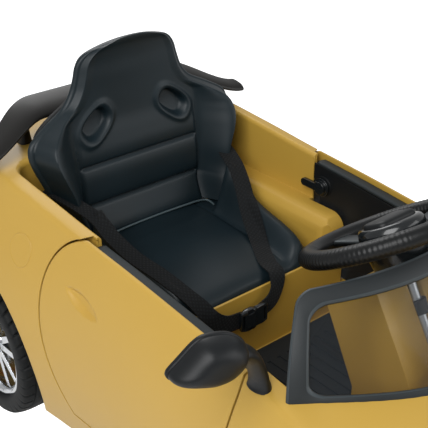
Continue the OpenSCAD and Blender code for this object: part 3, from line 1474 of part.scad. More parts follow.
base_plate();
base_pad();
pump_shroud();
pump_cylinder();
pump_gland();
base_screws();
lever_pin();
pump_lever();
lever_tread();
pump_ram();
thrust_washer();
swivel_hub();
mount_plate();
plate_bolts();
sub_frame();
rear_axle();
rear_calipers();
body_shell();
floor_mat();
steering_console();
column_bushes();
seat_shell();
seat_back_pad();
seat_cushion();
seat_belts();
belt_buckle();
belt_anchors();
windscreen_frame();
windscreen_glass();
mirror_housings();
mirror_glasses();
rear_wing();
head_lamps();
tail_lamps();
nose_grille();
rear_diffuser();
door_pins();
door(1);  // door_left
door(-1);  // door_right
side_lining(1);  // door_lining_left
side_lining(-1);  // door_lining_right
latch_knob(1);  // latch_left
latch_knob(-1);  // latch_right
steering_column();
steering_wheel();
horn_pad();
tie_rod();
knuckle(1);  // knuckle_left
knuckle(-1);  // knuckle_right
tyre(1, front_axle_y);  // tyre_front_left
tyre(-1, front_axle_y);  // tyre_front_right
tyre(1, rear_axle_y);  // tyre_rear_left
tyre(-1, rear_axle_y);  // tyre_rear_right
rim(1, front_axle_y);  // rim_front_left
rim(-1, front_axle_y);  // rim_front_right
rim(1, rear_axle_y);  // rim_rear_left
rim(-1, rear_axle_y);  // rim_rear_right
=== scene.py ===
# %% [markdown]
# A child's seat for a hairdresser's: a sports-car shell with a bucket seat on a hydraulic pump base.
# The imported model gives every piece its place. This script gives each piece its surface and finish,
# and makes the smooth mouldings and the upholstery anew at a finer grain.
# Sizes below are in millimetres, as in the part's source, and turn to metres when a mesh is made.

import json
import math

import bmesh
import bpy
import numpy as np
from mathutils import Matrix, Quaternion, Vector


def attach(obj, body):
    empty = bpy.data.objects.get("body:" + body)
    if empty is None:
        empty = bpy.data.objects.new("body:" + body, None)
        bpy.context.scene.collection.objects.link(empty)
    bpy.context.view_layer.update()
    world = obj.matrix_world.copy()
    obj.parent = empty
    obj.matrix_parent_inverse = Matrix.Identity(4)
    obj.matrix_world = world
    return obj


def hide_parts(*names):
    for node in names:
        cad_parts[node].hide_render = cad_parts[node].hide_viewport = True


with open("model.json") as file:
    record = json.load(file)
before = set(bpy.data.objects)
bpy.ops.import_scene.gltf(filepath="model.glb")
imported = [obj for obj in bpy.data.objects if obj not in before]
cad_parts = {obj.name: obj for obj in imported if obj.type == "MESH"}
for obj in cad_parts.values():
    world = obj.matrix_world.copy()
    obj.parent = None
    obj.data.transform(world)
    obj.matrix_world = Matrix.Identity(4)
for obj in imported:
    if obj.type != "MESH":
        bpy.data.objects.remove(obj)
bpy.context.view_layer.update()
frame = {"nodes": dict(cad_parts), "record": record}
MM = 0.001

# %% [markdown]
# The photographer stood ahead of the right front wheel, well above the car, with a long lens.
# The camera could be set by eye, but here its place was worked out from points that are easy to
# find in the picture: the corners of the windscreen, the ends of the wing, the steering wheel.

# %% Camera
camera_place = Vector((-0.810, -0.837, 1.303))
camera_yaw = math.radians(40)
camera_pitch = math.radians(28)
camera_roll = math.radians(0.3)
lens, sensor_width = 79.9, 36

camera_data = bpy.data.cameras.new("photo_camera")
camera_data.sensor_width = sensor_width
camera_data.lens = lens
camera = bpy.data.objects.new("photo_camera", camera_data)
bpy.context.scene.collection.objects.link(camera)
heading = Vector((
    math.sin(camera_yaw) * math.cos(camera_pitch),
    math.cos(camera_yaw) * math.cos(camera_pitch),
    -math.sin(camera_pitch),
))
camera.location = camera_place
camera.rotation_mode = "QUATERNION"
camera.rotation_quaternion = Quaternion(heading, camera_roll) @ heading.to_track_quat("-Z", "Y")
bpy.context.scene.camera = camera
bpy.context.scene.view_settings.view_transform = "Standard"

# %% [markdown]
# A shape here is a grid of points, worked out as one array, and faces that join neighbours.
# Spin, extrude and sculpt tools could make the same shapes by hand. Arrays were chosen because
# a form such as this body is a few rules about width and height, and rules are easy to change.

# %% Mesh helpers
def quads(rows, cols, wrap=True):
    """Faces between neighbouring rows of points; with wrap, the last column joins the first."""
    i, j = np.meshgrid(np.arange(rows - 1), np.arange(cols if wrap else cols - 1), indexing="ij")
    a, b = i * cols + j, i * cols + (j + 1) % cols
    return np.stack([a, b, b + cols, a + cols], -1).reshape(-1, 4)


def crisp(piece, angle=35):
    """Shades a piece smooth, and leaves edges that turn more than the angle sharp."""
    piece.data.polygons.foreach_set("use_smooth", np.ones(len(piece.data.polygons), bool))
    piece.data.set_sharp_from_angle(angle=math.radians(angle))


def ring_skin(name, points, angle=40):
    """A skin over rings of points that also joins its last ring to its first, as a torus does."""
    m, n = points.shape[:2]
    faces = quads(m + 1, n)
    return make(name, points, np.where(faces >= m * n, faces - m * n, faces), angle)


def make(name, points, faces, angle=35):
    """Puts points in millimetres and faces into a new object, in metres, with its faces outwards."""
    mesh = bpy.data.meshes.new(name)
    points = np.asarray(points, float).reshape(-1, 3) * MM
    mesh.from_pydata(points.tolist(), [], [list(map(int, f)) for f in faces])
    work = bmesh.new()
    work.from_mesh(mesh)
    if work.calc_volume(signed=True) < 0:
        bmesh.ops.reverse_faces(work, faces=work.faces)
    work.to_mesh(mesh)
    work.free()
    piece = bpy.data.objects.new(name, mesh)
    bpy.context.scene.collection.objects.link(piece)
    crisp(piece, angle)
    return piece


def loft(name, rings, angle=35):
    """A closed skin over rings of points, with a flat face over the first ring and the last."""
    m, n = rings.shape[:2]
    faces = quads(m, n).tolist() + [list(range(n))[::-1], list(range((m - 1) * n, m * n))]
    return make(name, rings, faces, angle)


def station(outline, axis, level):
    """An outline in two axes, set at a level, or at a level for each point, along the third."""
    return np.insert(np.asarray(outline, float), axis, level, axis=1)


def prism(outline, low, high, axis):
    """A closed prism: an outline in the two other axes, run along one axis between two levels."""
    return loft("prism", np.stack([station(outline, axis, level) for level in (low, high)]))


def carve(piece, cutter, kind="DIFFERENCE"):
    """Applies a boolean between two closed pieces and removes the cutter."""
    tool = piece.modifiers.new("carve", "BOOLEAN")
    tool.operation, tool.object, tool.solver = kind, cutter, "MANIFOLD"
    result = bpy.data.meshes.new_from_object(piece.evaluated_get(bpy.context.evaluated_depsgraph_get()))
    piece.modifiers.clear()
    old, piece.data = piece.data, result
    result.name = piece.name
    bpy.data.meshes.remove(old)
    bpy.data.meshes.remove(cutter.data)
    return piece


def both(outline_maker):
    """The same thing made for the right side (-1) and for the left side (+1)."""
    return [outline_maker(side) for side in (-1, 1)]


sides = ((1, "left"), (-1, "right"))


def sided(name, side):
    """A piece's name with its side of the car."""
    return name + "_" + dict(sides)[side]


def listed(items, key, width=1):
    """One property of all of a mesh's vertices, corners or faces, as an array."""
    values = np.empty(len(items) * width, float if width > 1 else int)
    items.foreach_get(key, values)
    return values.reshape(-1, width) if width > 1 else values


def turned_by(x, y, angle):
    """Both coordinates after a turn about the origin."""
    c, s = math.cos(angle), math.sin(angle)
    return x * c - y * s, x * s + y * c


def turns(steps):
    """Even angles round a full turn, without the last, which is the first again."""
    return np.linspace(0, 2 * np.pi, steps, endpoint=False)


def circle(radius, steps):
    """Points round the origin, as an outline."""
    a = turns(steps)
    return np.stack([np.cos(a), np.sin(a)], -1) * radius


def resample(outline, step):
    """Points at even steps along a closed outline."""
    closed = np.vstack([outline, outline[:1]])
    run = np.concatenate([[0], np.cumsum(np.linalg.norm(np.diff(closed, axis=0), axis=1))])
    at = np.linspace(0, run[-1], int(run[-1] / step), endpoint=False)
    return np.stack([np.interp(at, run, closed[:, k]) for k in range(closed.shape[1])], -1)


def shrink(outline, by):
    """Moves each side of a closed outline inwards; a corner goes where its two sides now meet."""
    outline = np.asarray(outline, float)
    ahead = np.roll(outline, -1, 0) - outline
    ahead /= np.linalg.norm(ahead, axis=1)[:, None]
    inward = np.stack([-ahead[:, 1], ahead[:, 0]], -1)
    before = np.roll(inward, 1, 0)
    turn = 1 + (inward * before).sum(1)[:, None]
    area = (outline[:, 0] * np.roll(outline[:, 1], -1) - outline[:, 1] * np.roll(outline[:, 0], -1)).sum()
    return outline + (inward + before) / turn * by * np.sign(area)


def rounded_box(width, height, radius, steps=8):
    """Outline of a rectangle round the origin with round corners."""
    a = np.linspace(0, np.pi / 2, steps)
    corners = [(1, 1, 0), (-1, 1, 1), (-1, -1, 2), (1, -1, 3)]
    arcs = [
        np.stack([
            sx * (width / 2 - radius) + radius * np.cos(a + q * np.pi / 2),
            sy * (height / 2 - radius) + radius * np.sin(a + q * np.pi / 2),
        ], -1)
        for sx, sy, q in corners
    ]
    return np.vstack(arcs)


def smooth(t):
    """Goes from 0 to 1 with level ends: three t squared less two t cubed."""
    t = np.clip(t, 0, 1)
    return t * t * (3 - 2 * t)


def bezier(a, b, c, d, t):
    """The cubic from a to d that leaves towards b and arrives from c."""
    return a * (1 - t) ** 3 + 3 * b * t * (1 - t) ** 2 + 3 * c * t * t * (1 - t) + d * t ** 3


def glide_rows(rows, steps):
    """Catmull-Rom: between two rows, the cubic whose slopes come from their neighbours."""
    rows = np.asarray(rows, float)
    n = len(rows) - 1
    at = np.linspace(0, n, n * steps + 1)
    i = np.minimum(at.astype(int), n - 1)
    t = (at - i)[:, None]
    a, b, c, d = (rows[np.clip(i + k, 0, n)] for k in (-1, 0, 1, 2))
    return 0.5 * (2 * b + (c - a) * t + (2 * a - 5 * b + 4 * c - d) * t**2 + (3 * b - a - 3 * c + d) * t**3)


def read(table, at):
    """Each column of a table after its first, at places along the first, by straight lines."""
    return [np.interp(at, table[:, 0], column) for column in table.T[1:]]


def sample(table, row_at, col_at, rows, cols):
    """Value of a table between its entries: the average of the four round it, by nearness."""
    r = np.interp(row_at, rows, np.arange(len(rows)))
    c = np.interp(col_at, cols, np.arange(len(cols)))
    i = np.minimum(r.astype(int), len(rows) - 2)
    j = np.minimum(c.astype(int), len(cols) - 2)
    r, c = r - i, c - j
    return (
        table[i, j] * (1 - r) * (1 - c) + table[i + 1, j] * r * (1 - c)
        + table[i, j + 1] * (1 - r) * c + table[i + 1, j + 1] * r * c
    )


# %% [markdown]
# Colours are written as the sRGB hex values that a picture shows, and one function turns them
# into the linear values that a shader wants. A material is a small tree of nodes, and one
# function adds a node with its settings and its links.

# %% Material helpers
def linear(text):
    """An sRGB hex colour as linear red, green, blue and an alpha of one."""
    parts = [int(text[i : i + 2], 16) / 255 for i in (1, 3, 5)]
    return [p / 12.92 if p <= 0.04045 else ((p + 0.055) / 1.055) ** 2.4 for p in parts] + [1.0]


def add(tree, kind, settings=(), sockets=()):
    """Adds a node; a socket that is given an output is linked to it, and any other value is set."""
    made = tree.nodes.new(kind)
    for key, value in dict(settings).items():
        setattr(made, key, value)
    for key, value in dict(sockets).items():
        if isinstance(value, bpy.types.NodeSocket):
            tree.links.new(value, made.inputs[key])
        else:
            made.inputs[key].default_value = value
    return made


def finish(name, values=()):
    """A new material with only an output and a Principled shader, whose sockets get the values."""
    material = bpy.data.materials.new(name)
    material.use_nodes = True
    shader = material.node_tree.nodes["Principled BSDF"]
    for socket, value in dict(values).items():
        shader.inputs[socket].default_value = value
    return material, material.node_tree, shader


def join(tree, output, shader, socket):
    """Links an output to a socket of the shader."""
    tree.links.new(output, shader.inputs[socket])


def noise(tree, scale, detail=2.0, stretch=None):
    """Soft noise over the piece's own coordinates, with this many blobs to the metre."""
    place = add(tree, "ShaderNodeTexCoord").outputs["Object"]
    if stretch:
        place = add(tree, "ShaderNodeMapping", (), {"Vector": place, "Scale": stretch}).outputs["Vector"]
    sockets = {"Vector": place, "Scale": scale, "Detail": detail}
    return add(tree, "ShaderNodeTexNoise", (), sockets).outputs["Fac"]


def two_tone(tree, shader, factor, low, high):
    """Makes the base colour wander between two close tones, written as sRGB hex values."""
    tones = {"Factor": factor, "A": linear(low), "B": linear(high)}
    tone = add(tree, "ShaderNodeMix", {"data_type": "RGBA"}, tones)
    join(tree, tone.outputs["Result"], shader, "Base Color")


def vary(tree, shader, factor, low, high):
    """Makes the roughness wander between two values."""
    rough = add(tree, "ShaderNodeMapRange", (), {"Value": factor, "To Min": low, "To Max": high})
    join(tree, rough.outputs["Result"], shader, "Roughness")


def soft_edges(tree, radius, samples=4):
    """The normal that makes every edge look round by a radius in metres."""
    return add(tree, "ShaderNodeBevel", {"samples": samples}, {"Radius": radius}).outputs["Normal"]


def relief(tree, shader, height, strength, depth=0.0004, edges=None):
    """Bumps the surface by a height, on top of soft edges where they are given."""
    sockets = {"Height": height, "Strength": strength, "Distance": depth}
    if edges:
        sockets["Normal"] = edges
    join(tree, add(tree, "ShaderNodeBump", (), sockets).outputs["Normal"], shader, "Normal")


# %% [markdown]
# The body is blow-moulded plastic, sprayed satin yellow. What the eye gets is a broad soft
# highlight, a very faint orange peel, and edges that are all a little round, which the Bevel
# node gives without any more faces.

# %% Lacquered body
peel_size = 0.0022
body_lacquer, tree, shader = finish(
    "satin_yellow_lacquer", {"Roughness": 0.42, "Coat Weight": 0.12, "Coat Roughness": 0.22})
two_tone(tree, shader, noise(tree, 3.0), "#B9933B", "#C19C43")
relief(tree, shader, noise(tree, 1 / peel_size, 1.0), 0.06, edges=soft_edges(tree, 0.0022, 6))

# %% [markdown]
# The upholstery is PVC leathercloth over foam: black with a breath of teal. Its grain is a
# field of pebbles a little over a millimetre across, drawn a little coarse so that it shows.

# %% Seat vinyl
grain_size = 0.0016
seat_vinyl, tree, shader = finish("black_pvc_leathercloth", {"Specular IOR Level": 0.36})
cloud = noise(tree, 9.0, 3.0)
two_tone(tree, shader, cloud, "#0C171B", "#132229")
vary(tree, shader, cloud, 0.40, 0.50)
place = add(tree, "ShaderNodeTexCoord").outputs["Object"]
pebble = add(tree, "ShaderNodeTexVoronoi", {"feature": "DISTANCE_TO_EDGE"}, {
    "Vector": place, "Scale": 1 / grain_size})
relief(tree, shader, pebble.outputs["Distance"], 0.10)

# %% [markdown]
# The lap belt is flat polyester webbing. A twill like this shows slanting ribs across the strap,
# so the pattern follows the strap's own UV map: U along it and V across it, both in metres.

# %% Belt webbing
rib_pitch = 0.0026
belt_webbing, tree, shader = finish(
    "black_polyester_webbing", {"Roughness": 0.78, "Sheen Weight": 0.04, "Specular IOR Level": 0.25})
strap = add(tree, "ShaderNodeUVMap", {"uv_map": "strap"}).outputs["UV"]
weave = add(tree, "ShaderNodeMath", {"operation": "MULTIPLY"})
for k, slant in enumerate((45, -45)):
    turned = add(tree, "ShaderNodeMapping", (), {
        "Vector": strap, "Scale": (1 / rib_pitch, 1 / rib_pitch, 1),
        "Rotation": (0, 0, math.radians(slant))})
    ribs = add(tree, "ShaderNodeTexWave", {"wave_profile": "SIN"}, {
        "Vector": turned.outputs["Vector"], "Scale": 0.16, "Distortion": 0.0})
    tree.links.new(ribs.outputs["Fac"], weave.inputs[k])
two_tone(tree, shader, weave.outputs["Value"], "#06080A", "#171B1D")
relief(tree, shader, weave.outputs["Value"], 0.7, 0.0006)

# %% [markdown]
# Moulded plastics differ by their colour, how shiny they are, and the grain that the steel mould
# was etched with. One function makes each of them from these three facts.

# %% Moulded plastics
def plastic(name, low, high, roughness, grain, depth, coat=0.0):
    """Moulded plastic: two close tones, a roughness, an etched grain in metres and its depth."""
    material, tree, shader = finish(name, {
        "Roughness": roughness, "Specular IOR Level": 0.34, "Coat Weight": coat, "Coat Roughness": 0.08})
    two_tone(tree, shader, noise(tree, 14.0), low, high)
    relief(tree, shader, noise(tree, 1 / grain), depth, edges=soft_edges(tree, 0.0012))
    return material


black_abs = plastic("etched_black_abs", "#090B0D", "#101315", 0.52, 0.0009, 0.35)
mirror_abs = plastic("satin_black_abs", "#080B0D", "#0E1215", 0.44, 0.0010, 0.12)
gloss_abs = plastic("polished_black_abs", "#121517", "#181C1E", 0.22, 0.0030, 0.04, coat=0.5)
screen_grey = plastic("grey_screen_moulding", "#1C2022", "#24292B", 0.48, 0.0010, 0.15)
wing_lacquer = plastic("dark_bronze_lacquer", "#0D0C0B", "#151310", 0.42, 0.0030, 0.04, coat=0.05)
liner_grey = plastic("door_top_strip", "#1C2224", "#23292B", 0.50, 0.0012, 0.25)
mat_rubber = plastic("ribbed_floor_rubber", "#191C1E", "#212527", 0.72, 0.0014, 0.5)
lever_rubber = plastic("moulded_black_rubber", "#1A1B1C", "#222324", 0.70, 0.0012, 0.4)
frame_paint = plastic("powder_coated_steel", "#151617", "#1D1E20", 0.45, 0.0007, 0.6)
caliper_paint = plastic("yellow_caliper_lacquer", "#C39A1E", "#D3AB2C", 0.28, 0.0030, 0.05, coat=0.4)

# %% [markdown]
# A tyre of black PVC: nearly matt, with patches that are a little greyer, as from dust.

# %% Tyre
tyre_rubber, tree, shader = finish(
    "blow_moulded_tyre_rubber", {"Roughness": 0.62, "Specular IOR Level": 0.25})
two_tone(tree, shader, noise(tree, 26.0, 4.0), "#07090A", "#101314")
relief(tree, shader, noise(tree, 900.0), 0.25)

# %% [markdown]
# Metals keep the default IOR, and differ by colour, by roughness, and by the way they were
# finished: plated ones are smooth with faint smears, brushed ones carry fine lines.

# %% Metals
def metal(name, colour, roughness, smear, stretch=(1, 1, 1), size=0.02):
    """Bare or plated metal: its colour, its roughness, and how much smears or brush lines change it."""
    material, tree, shader = finish(name, {"Base Color": linear(colour), "Metallic": 1.0})
    vary(tree, shader, noise(tree, 1 / size, 3.0, stretch), roughness - smear, roughness + smear)
    join(tree, soft_edges(tree, 0.0010), shader, "Normal")
    return material


plated_chrome = metal("polished_chrome_plate", "#D9DCDE", 0.10, 0.04)
rim_plate = metal("bright_vacuum_plating", "#DADDE0", 0.14, 0.04)
brushed_steel = metal("brushed_mild_steel", "#AEB2B6", 0.34, 0.10, stretch=(1, 1, 12), size=0.01)
turned_brass = metal("turned_brass", "#B98F48", 0.28, 0.06)
silvered = metal("silvered_mirror_glass", "#E3E7E9", 0.03, 0.01)

# %% [markdown]
# Clear parts: the smoked pane of the windscreen, the headlamp lenses and the red tail lens.
# Real glass could be made with transmission, but a thin tinted sheet looks the same through
# plain transparency, and keeps its look in other programs.

# %% Clear parts
def clear(name, colour, alpha, roughness, size):
    """Thin clear moulding: tint, how much of it shows, and a faint ripple of a given size."""
    material, tree, shader = finish(name, {"Base Color": linear(colour), "Alpha": alpha})
    ripple = noise(tree, 1 / size)
    relief(tree, shader, ripple, 0.05, 0.001)
    vary(tree, shader, ripple, roughness * 0.8, roughness * 1.2)
    return material


smoked_pane = clear("smoked_acrylic_pane", "#2A3138", 0.15, 0.12, 0.05)
lamp_lens = clear("clear_lamp_lens", "#E4EAED", 0.75, 0.08, 0.01)
tail_lens = clear("ruby_lamp_lens", "#A81C24", 1.0, 0.14, 0.01)

# %% [markdown]
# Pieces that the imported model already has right, such as bolts, rods and the pump, keep their
# shape. Their meshes are loose triangles, so each gets a copy with its corners merged, which can
# be shaded smooth, and the copy stands in for the node.

# %% Copies of rigid nodes
merge_gap, flat_turn, bevel_turn = 2e-6, math.radians(0.5), math.radians(50)


def keep(node, material, angle=30, bevel=0.0):
    """A merged copy of a node's mesh, shaded smooth, with a small bevel on its edges if asked."""
    source = frame["nodes"][node]
    copy = bpy.data.objects.new(node + "_finished", source.data.copy())
    bpy.context.scene.collection.objects.link(copy)
    work = bmesh.new()
    work.from_mesh(copy.data)
    bmesh.ops.remove_doubles(work, verts=work.verts, dist=merge_gap)
    bmesh.ops.dissolve_limit(work, angle_limit=flat_turn, verts=work.verts, edges=work.edges)
    work.to_mesh(copy.data)
    work.free()
    crisp(copy, angle)
    if bevel:
        soft = copy.modifiers.new("edges", "BEVEL")
        soft.width, soft.segments, soft.limit_method = bevel * MM, 2, "ANGLE"
        soft.angle_limit = bevel_turn
    return dress(copy, material, body_of_node[node], node)


def dress(piece, material, body, *nodes):
    """Gives a piece its material, slot and body, and hides the nodes it stands for."""
    piece.data.materials.clear()
    piece.data.materials.append(material)
    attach(piece, body)
    if nodes:
        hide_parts(*nodes)
    return piece


body_of_node = {
    node: body for body, nodes in frame["record"]["behaviour"]["bodies"].items() for node in nodes
}

# %% [markdown]
# The body form is a run of cross-sections from nose to tail. Each has a width at the arches,
# a width at the belt line, two heights and a lift of the underside, and is drawn with two
# curves: one up the side and one over the top to the middle.

# %% Body form
car_len, nose_y, half_w, belt_half = 1230.0, -615.0, 298.0, 229.0
sill_z, body_h, wall = 335.0, 350.0, 4.0
tuck_share, shoulder_share = 0.075, 0.11
body_shares = [
    [0.000, 0.56, 0.50, 0.36, 0.38, 0.14], [0.022, 0.76, 0.72, 0.47, 0.50, 0.06],
    [0.070, 0.89, 0.90, 0.60, 0.65, 0.02], [0.130, 0.955, 0.985, 0.72, 0.765, 0.00],
    [0.177, 0.98, 1.02, 0.785, 0.825, 0.00], [0.236, 0.965, 1.03, 0.825, 0.868, 0.00],
    [0.305, 0.925, 1.015, 0.85, 0.90, 0.00], [0.380, 0.905, 1.00, 0.885, 0.92, 0.00],
    [0.512, 0.900, 1.00, 0.93, 0.95, 0.00], [0.620, 0.915, 1.00, 0.958, 0.98, 0.00],
    [0.720, 0.965, 1.00, 0.99, 1.01, 0.00], [0.820, 1.000, 0.985, 1.015, 1.045, 0.00],
    [0.900, 0.965, 0.93, 0.995, 1.03, 0.01], [0.960, 0.86, 0.82, 0.93, 0.96, 0.04],
    [0.990, 0.72, 0.68, 0.83, 0.86, 0.09], [1.000, 0.62, 0.58, 0.74, 0.77, 0.14],
]
dense_shares = glide_rows(body_shares, 40)


def shares_at(y):
    """The five shares of the section at each y, read from the smooth run of sections."""
    s = (np.asarray(y, float) - nose_y) / car_len
    return [share[..., None] for share in read(dense_shares, s)]


def section(y, inset, t_side, t_top):
    """Half a section at each y: x and z from the sill up the side and over to the middle."""
    wide, belt, high, crown, lift = shares_at(y)
    wide, belt = wide * half_w - inset, belt * belt_half - inset
    z_belt, z_crown = sill_z + high * body_h - inset, sill_z + crown * body_h - inset
    z_low = sill_z + lift * body_h
    low = wide * (1 - tuck_share)
    swell = (wide - (low + belt) / 8) * 4 / 3
    roll = shoulder_share * belt
    side_x = bezier(low, swell, swell, belt, t_side)
    side_z = bezier(z_low, z_low * 0.70 + z_belt * 0.30, z_low * 0.38 + z_belt * 0.62, z_belt, t_side)
    top_x = bezier(belt, belt - roll, belt * 0.5, belt * 0, t_top)
    top_z = bezier(z_belt, z_belt + roll * 0.42, z_crown, z_crown, t_top)
    x, z = np.concatenate([side_x, top_x], -1), np.concatenate([side_z, top_z], -1)
    if inset > 0:
        x = np.concatenate([low, x], -1)
        z = np.concatenate([low * 0 + sill_z - 8, z], -1)
    return x, z


def body_rings(inset, y, side_n, top_n):
    """Whole closed sections: the right half, then the left half mirrored."""
    t_side = np.linspace(0, 1, side_n + 1)
    t_top = (np.arange(1, top_n + 1) / top_n) ** 1.6
    x, z = section(y, inset, t_side, t_top)
    x = np.concatenate([-x, x[:, -2::-1]], 1)
    z = np.concatenate([z, z[:, -2::-1]], 1)
    return np.stack([x, np.broadcast_to(np.asarray(y, float)[:, None], x.shape), z], -1)


def body_rows(steps, inset=0.0):
    """The y of the sections, closer where the form turns fast, kept a wall short at both ends."""
    s = glide_rows(body_shares, steps)[:, 0]
    return nose_y + car_len * np.interp(s, [0, 1], [inset / car_len, 1 - inset / car_len])


rings = body_rings(0, body_rows(11), 44, 56)
print("body form:", rings.shape[0], "sections of", rings.shape[1], "points")

# %% [markdown]
# Cutting holes into a smooth skin leaves long thin faces, and their shading goes streaky. The
# cure is to ask the form itself for the direction of its surface. A table holds how far the skin
# is from the car's middle line at each y and each angle, and its slope gives the direction.

# %% Distance table
table_y = np.linspace(nose_y, nose_y + car_len, 616)
table_a = np.linspace(-np.pi, np.pi, 721)
axis_share = 0.42
slope_step, on_skin_gap, same_way = 1.5, 0.6, 0.8


def axis_z(y):
    """Height of the line that angles are measured round."""
    high, lift = shares_at(y)[2][..., 0], shares_at(y)[4][..., 0]
    return sill_z + body_h * (lift + (high - lift) * axis_share)


def measure(rings):
    """Distance from the middle line to each ring, at every angle of the table."""
    dx, dz = rings[:, :, 0], rings[:, :, 2] - axis_z(rings[:, 0, 1])[:, None]
    angle, reach = np.arctan2(dx, dz), np.hypot(dx, dz)
    flat = []
    for a, d, x, z in zip(angle, reach, dx, dz):
        bottom = np.arctan2(x[0], z[0]), np.arctan2(x[-1], z[-1])
        r = np.interp(table_a, a, d)
        under = (table_a < bottom[0]) | (table_a > bottom[1])
        r[under] = z[0] / np.minimum(np.cos(table_a[under]), -1e-3)
        flat.append(r)
    return np.array(flat)


skin_table = measure(body_rings(0, table_y, 120, 120))


def skin_gap(points):
    """How far each point stands outside the body skin, along its own ray."""
    x, y, z = points[..., 0], points[..., 1], points[..., 2]
    dz = z - axis_z(y)
    reach = sample(skin_table, y, np.arctan2(x, dz), table_y, table_a)
    return np.hypot(x, dz) - reach


def skin_normal(points):
    """Direction of the skin at each point: how the gap grows along each axis, made unit length."""
    slope = [skin_gap(points + step) - skin_gap(points - step) for step in np.eye(3) * slope_step]
    slope = np.stack(slope, -1)
    return slope / np.linalg.norm(slope, axis=-1, keepdims=True)


table_x = np.linspace(0, half_w, 300)
deck_x, deck_zs = section(table_y, 0, np.linspace(0.9, 1, 4), np.linspace(0, 1, 160) ** 1.6)
deck_table = np.array([np.interp(table_x, x[::-1], z[::-1]) for x, z in zip(deck_x, deck_zs)])


def deck_z(x, y):
    """Height of the skin over a point in plan."""
    x, y = np.broadcast_arrays(np.abs(np.asarray(x, float)), np.asarray(y, float))
    return sample(deck_table, y, x, table_y, table_x)


def follow_skin(piece):
    """Takes the shading of faces that lie on the body skin from the form, not from the mesh."""
    mesh = piece.data
    points = listed(mesh.vertices, "co", 3) / MM
    corner = listed(mesh.loops, "vertex_index")
    start = listed(mesh.polygons, "loop_start")
    faces = np.repeat(np.arange(len(start)), np.diff(np.append(start, len(corner))))
    turned = listed(mesh.polygons, "normal", 3)[faces]
    wanted = skin_normal(points)
    agrees = (wanted[corner] * turned).sum(1) > same_way
    on_skin = (np.abs(skin_gap(points)) < on_skin_gap)[corner] & agrees
    whole = np.minimum.reduceat(on_skin, start)[faces]
    normals = np.where(whole[:, None], wanted[corner], 0)
    mesh.normals_split_custom_set(normals.tolist())
    return whole.mean()


print("deck heights at the cowl and behind the seat:", deck_z(0, np.array([-368, 400])).round(1))

# %% [markdown]
# The shell is the form with a cavity, and a tub cut into it. The tub's upper edge rolls over into
# the deck, so its cutter is a plan outline that flares in a quarter circle at the deck's height.

# %% Tub cutters
tub_half, tub_front, tub_rear = 205.0, 340.0, 356.0
floor_z, toe_reach, seat_base_y = 426.0, 250.0, 42.0
seat_floor_z, recess_w, ledge_z, ledge_r = 515.0, 316.0, 596.0, 26.0
screen_foot_y, screen_w, screen_h, screen_t, screen_top_w = 368.0, 446.0, 108.0, 6.0, 330.0
screen_bow = screen_foot_y * 0.30
lip_r, seat_lip_h = 8.0, 22


def foot_y(x):
    """The windscreen's foot in plan, a shallow arc across the cowl."""
    return -screen_foot_y + screen_bow * (np.abs(x) / (screen_w / 2)) ** 2


def tub_plan(grow):
    """Outline of the tub opening: the arc at the front, straight sides and a straight rear."""
    x = np.linspace(-tub_half - grow, tub_half + grow, 17)
    arc = np.stack([x, foot_y(x) + wall + screen_t - grow], -1)
    corner = 26.0
    a = np.linspace(0, np.pi / 2, 7)
    mid_x, mid_y = tub_half + grow - corner, tub_rear + grow - corner
    right = np.stack([mid_x + corner * np.cos(a), mid_y + corner * np.sin(a)], -1)
    return np.vstack([arc, right, right[::-1] * [-1, 1]])


def tub_parts(grow):
    """The three closed pieces of the tub's hollow, larger by a wall where asked."""
    top = sill_z + 2 * body_h
    plan = resample(tub_plan(grow), 7.0)
    out = np.roll(plan, -1, 0) - np.roll(plan, 1, 0)
    out = np.stack([out[:, 1], -out[:, 0]], -1) / np.linalg.norm(out, axis=1)[:, None]
    deck = deck_z(plan[:, 0], plan[:, 1])
    down = np.concatenate([-lip_r * (1 - np.sin(np.linspace(0, np.pi / 2, 7))), [2.0, 260.0]])
    spread = lip_r * (1 - np.sqrt(np.clip(1 - ((down + lip_r) / lip_r) ** 2, 0, 1)))
    spread[-2:] = lip_r + 3
    levels = [station(plan, 2, ledge_z - grow)]
    for d, s in zip(down, spread):
        levels.append(station(plan + out * s * (grow == 0), 2, deck + d))
    shoulder = loft("shoulder", np.stack(levels))
    front = -tub_front + wall + screen_t - grow
    well = prism([
        [-toe_reach - grow, floor_z - grow], [seat_base_y + grow, floor_z - grow],
        [seat_base_y + grow, ledge_z + 1], [front, ledge_z + 1], [front, ledge_z - grow],
    ], -tub_half - grow, tub_half + grow, 0)
    recess = prism([
        [seat_base_y - wall, seat_floor_z - grow], [tub_rear + grow, seat_floor_z - grow],
        [tub_rear + grow, top], [seat_base_y - wall, top],
    ], -recess_w / 2 - grow, recess_w / 2 + grow, 0)
    turn, r = np.linspace(np.pi, np.pi / 2, 12), ledge_r - grow

    def rounding(edge, level, low, high, axis, side=1):
        """What is cut away to round an edge between a wall at one place and a floor at one level."""
        arc = np.stack([ledge_r + r * np.cos(turn), -ledge_r + r * np.sin(turn)], -1)
        outline = np.vstack([[[-1, -ledge_r]], arc, [[ledge_r, 2], [-1, 2]]])
        return prism(outline * [side, 1] + [side * edge, level], low, high, axis)

    front_edge = rounding(seat_base_y, ledge_z, -tub_half - grow, tub_half + grow, 0)
    rest = []
    for side in (-1, 1):
        rest.append(rounding(recess_w / 2, ledge_z, seat_base_y - wall, tub_rear, 1, side))
        arc = np.stack([ledge_r + r * np.cos(turn), ledge_r - r * np.sin(turn)], -1)
        corner = np.vstack([[[-1, ledge_r]], arc, [[ledge_r, -1], [-1, -1]]])
        corner = corner * [side, 1] + [side * recess_w / 2, seat_base_y]
        rest.append(prism(corner, seat_floor_z + seat_lip_h - grow, ledge_z + 2, 2))
    return [shoulder, well, recess, front_edge] + rest


# %% [markdown]
# Doors, wheel arches, lamps and grille are cut with prisms. The door's rear seam sweeps back
# round the wheel arch, which is the line that makes the side look like a sports car.

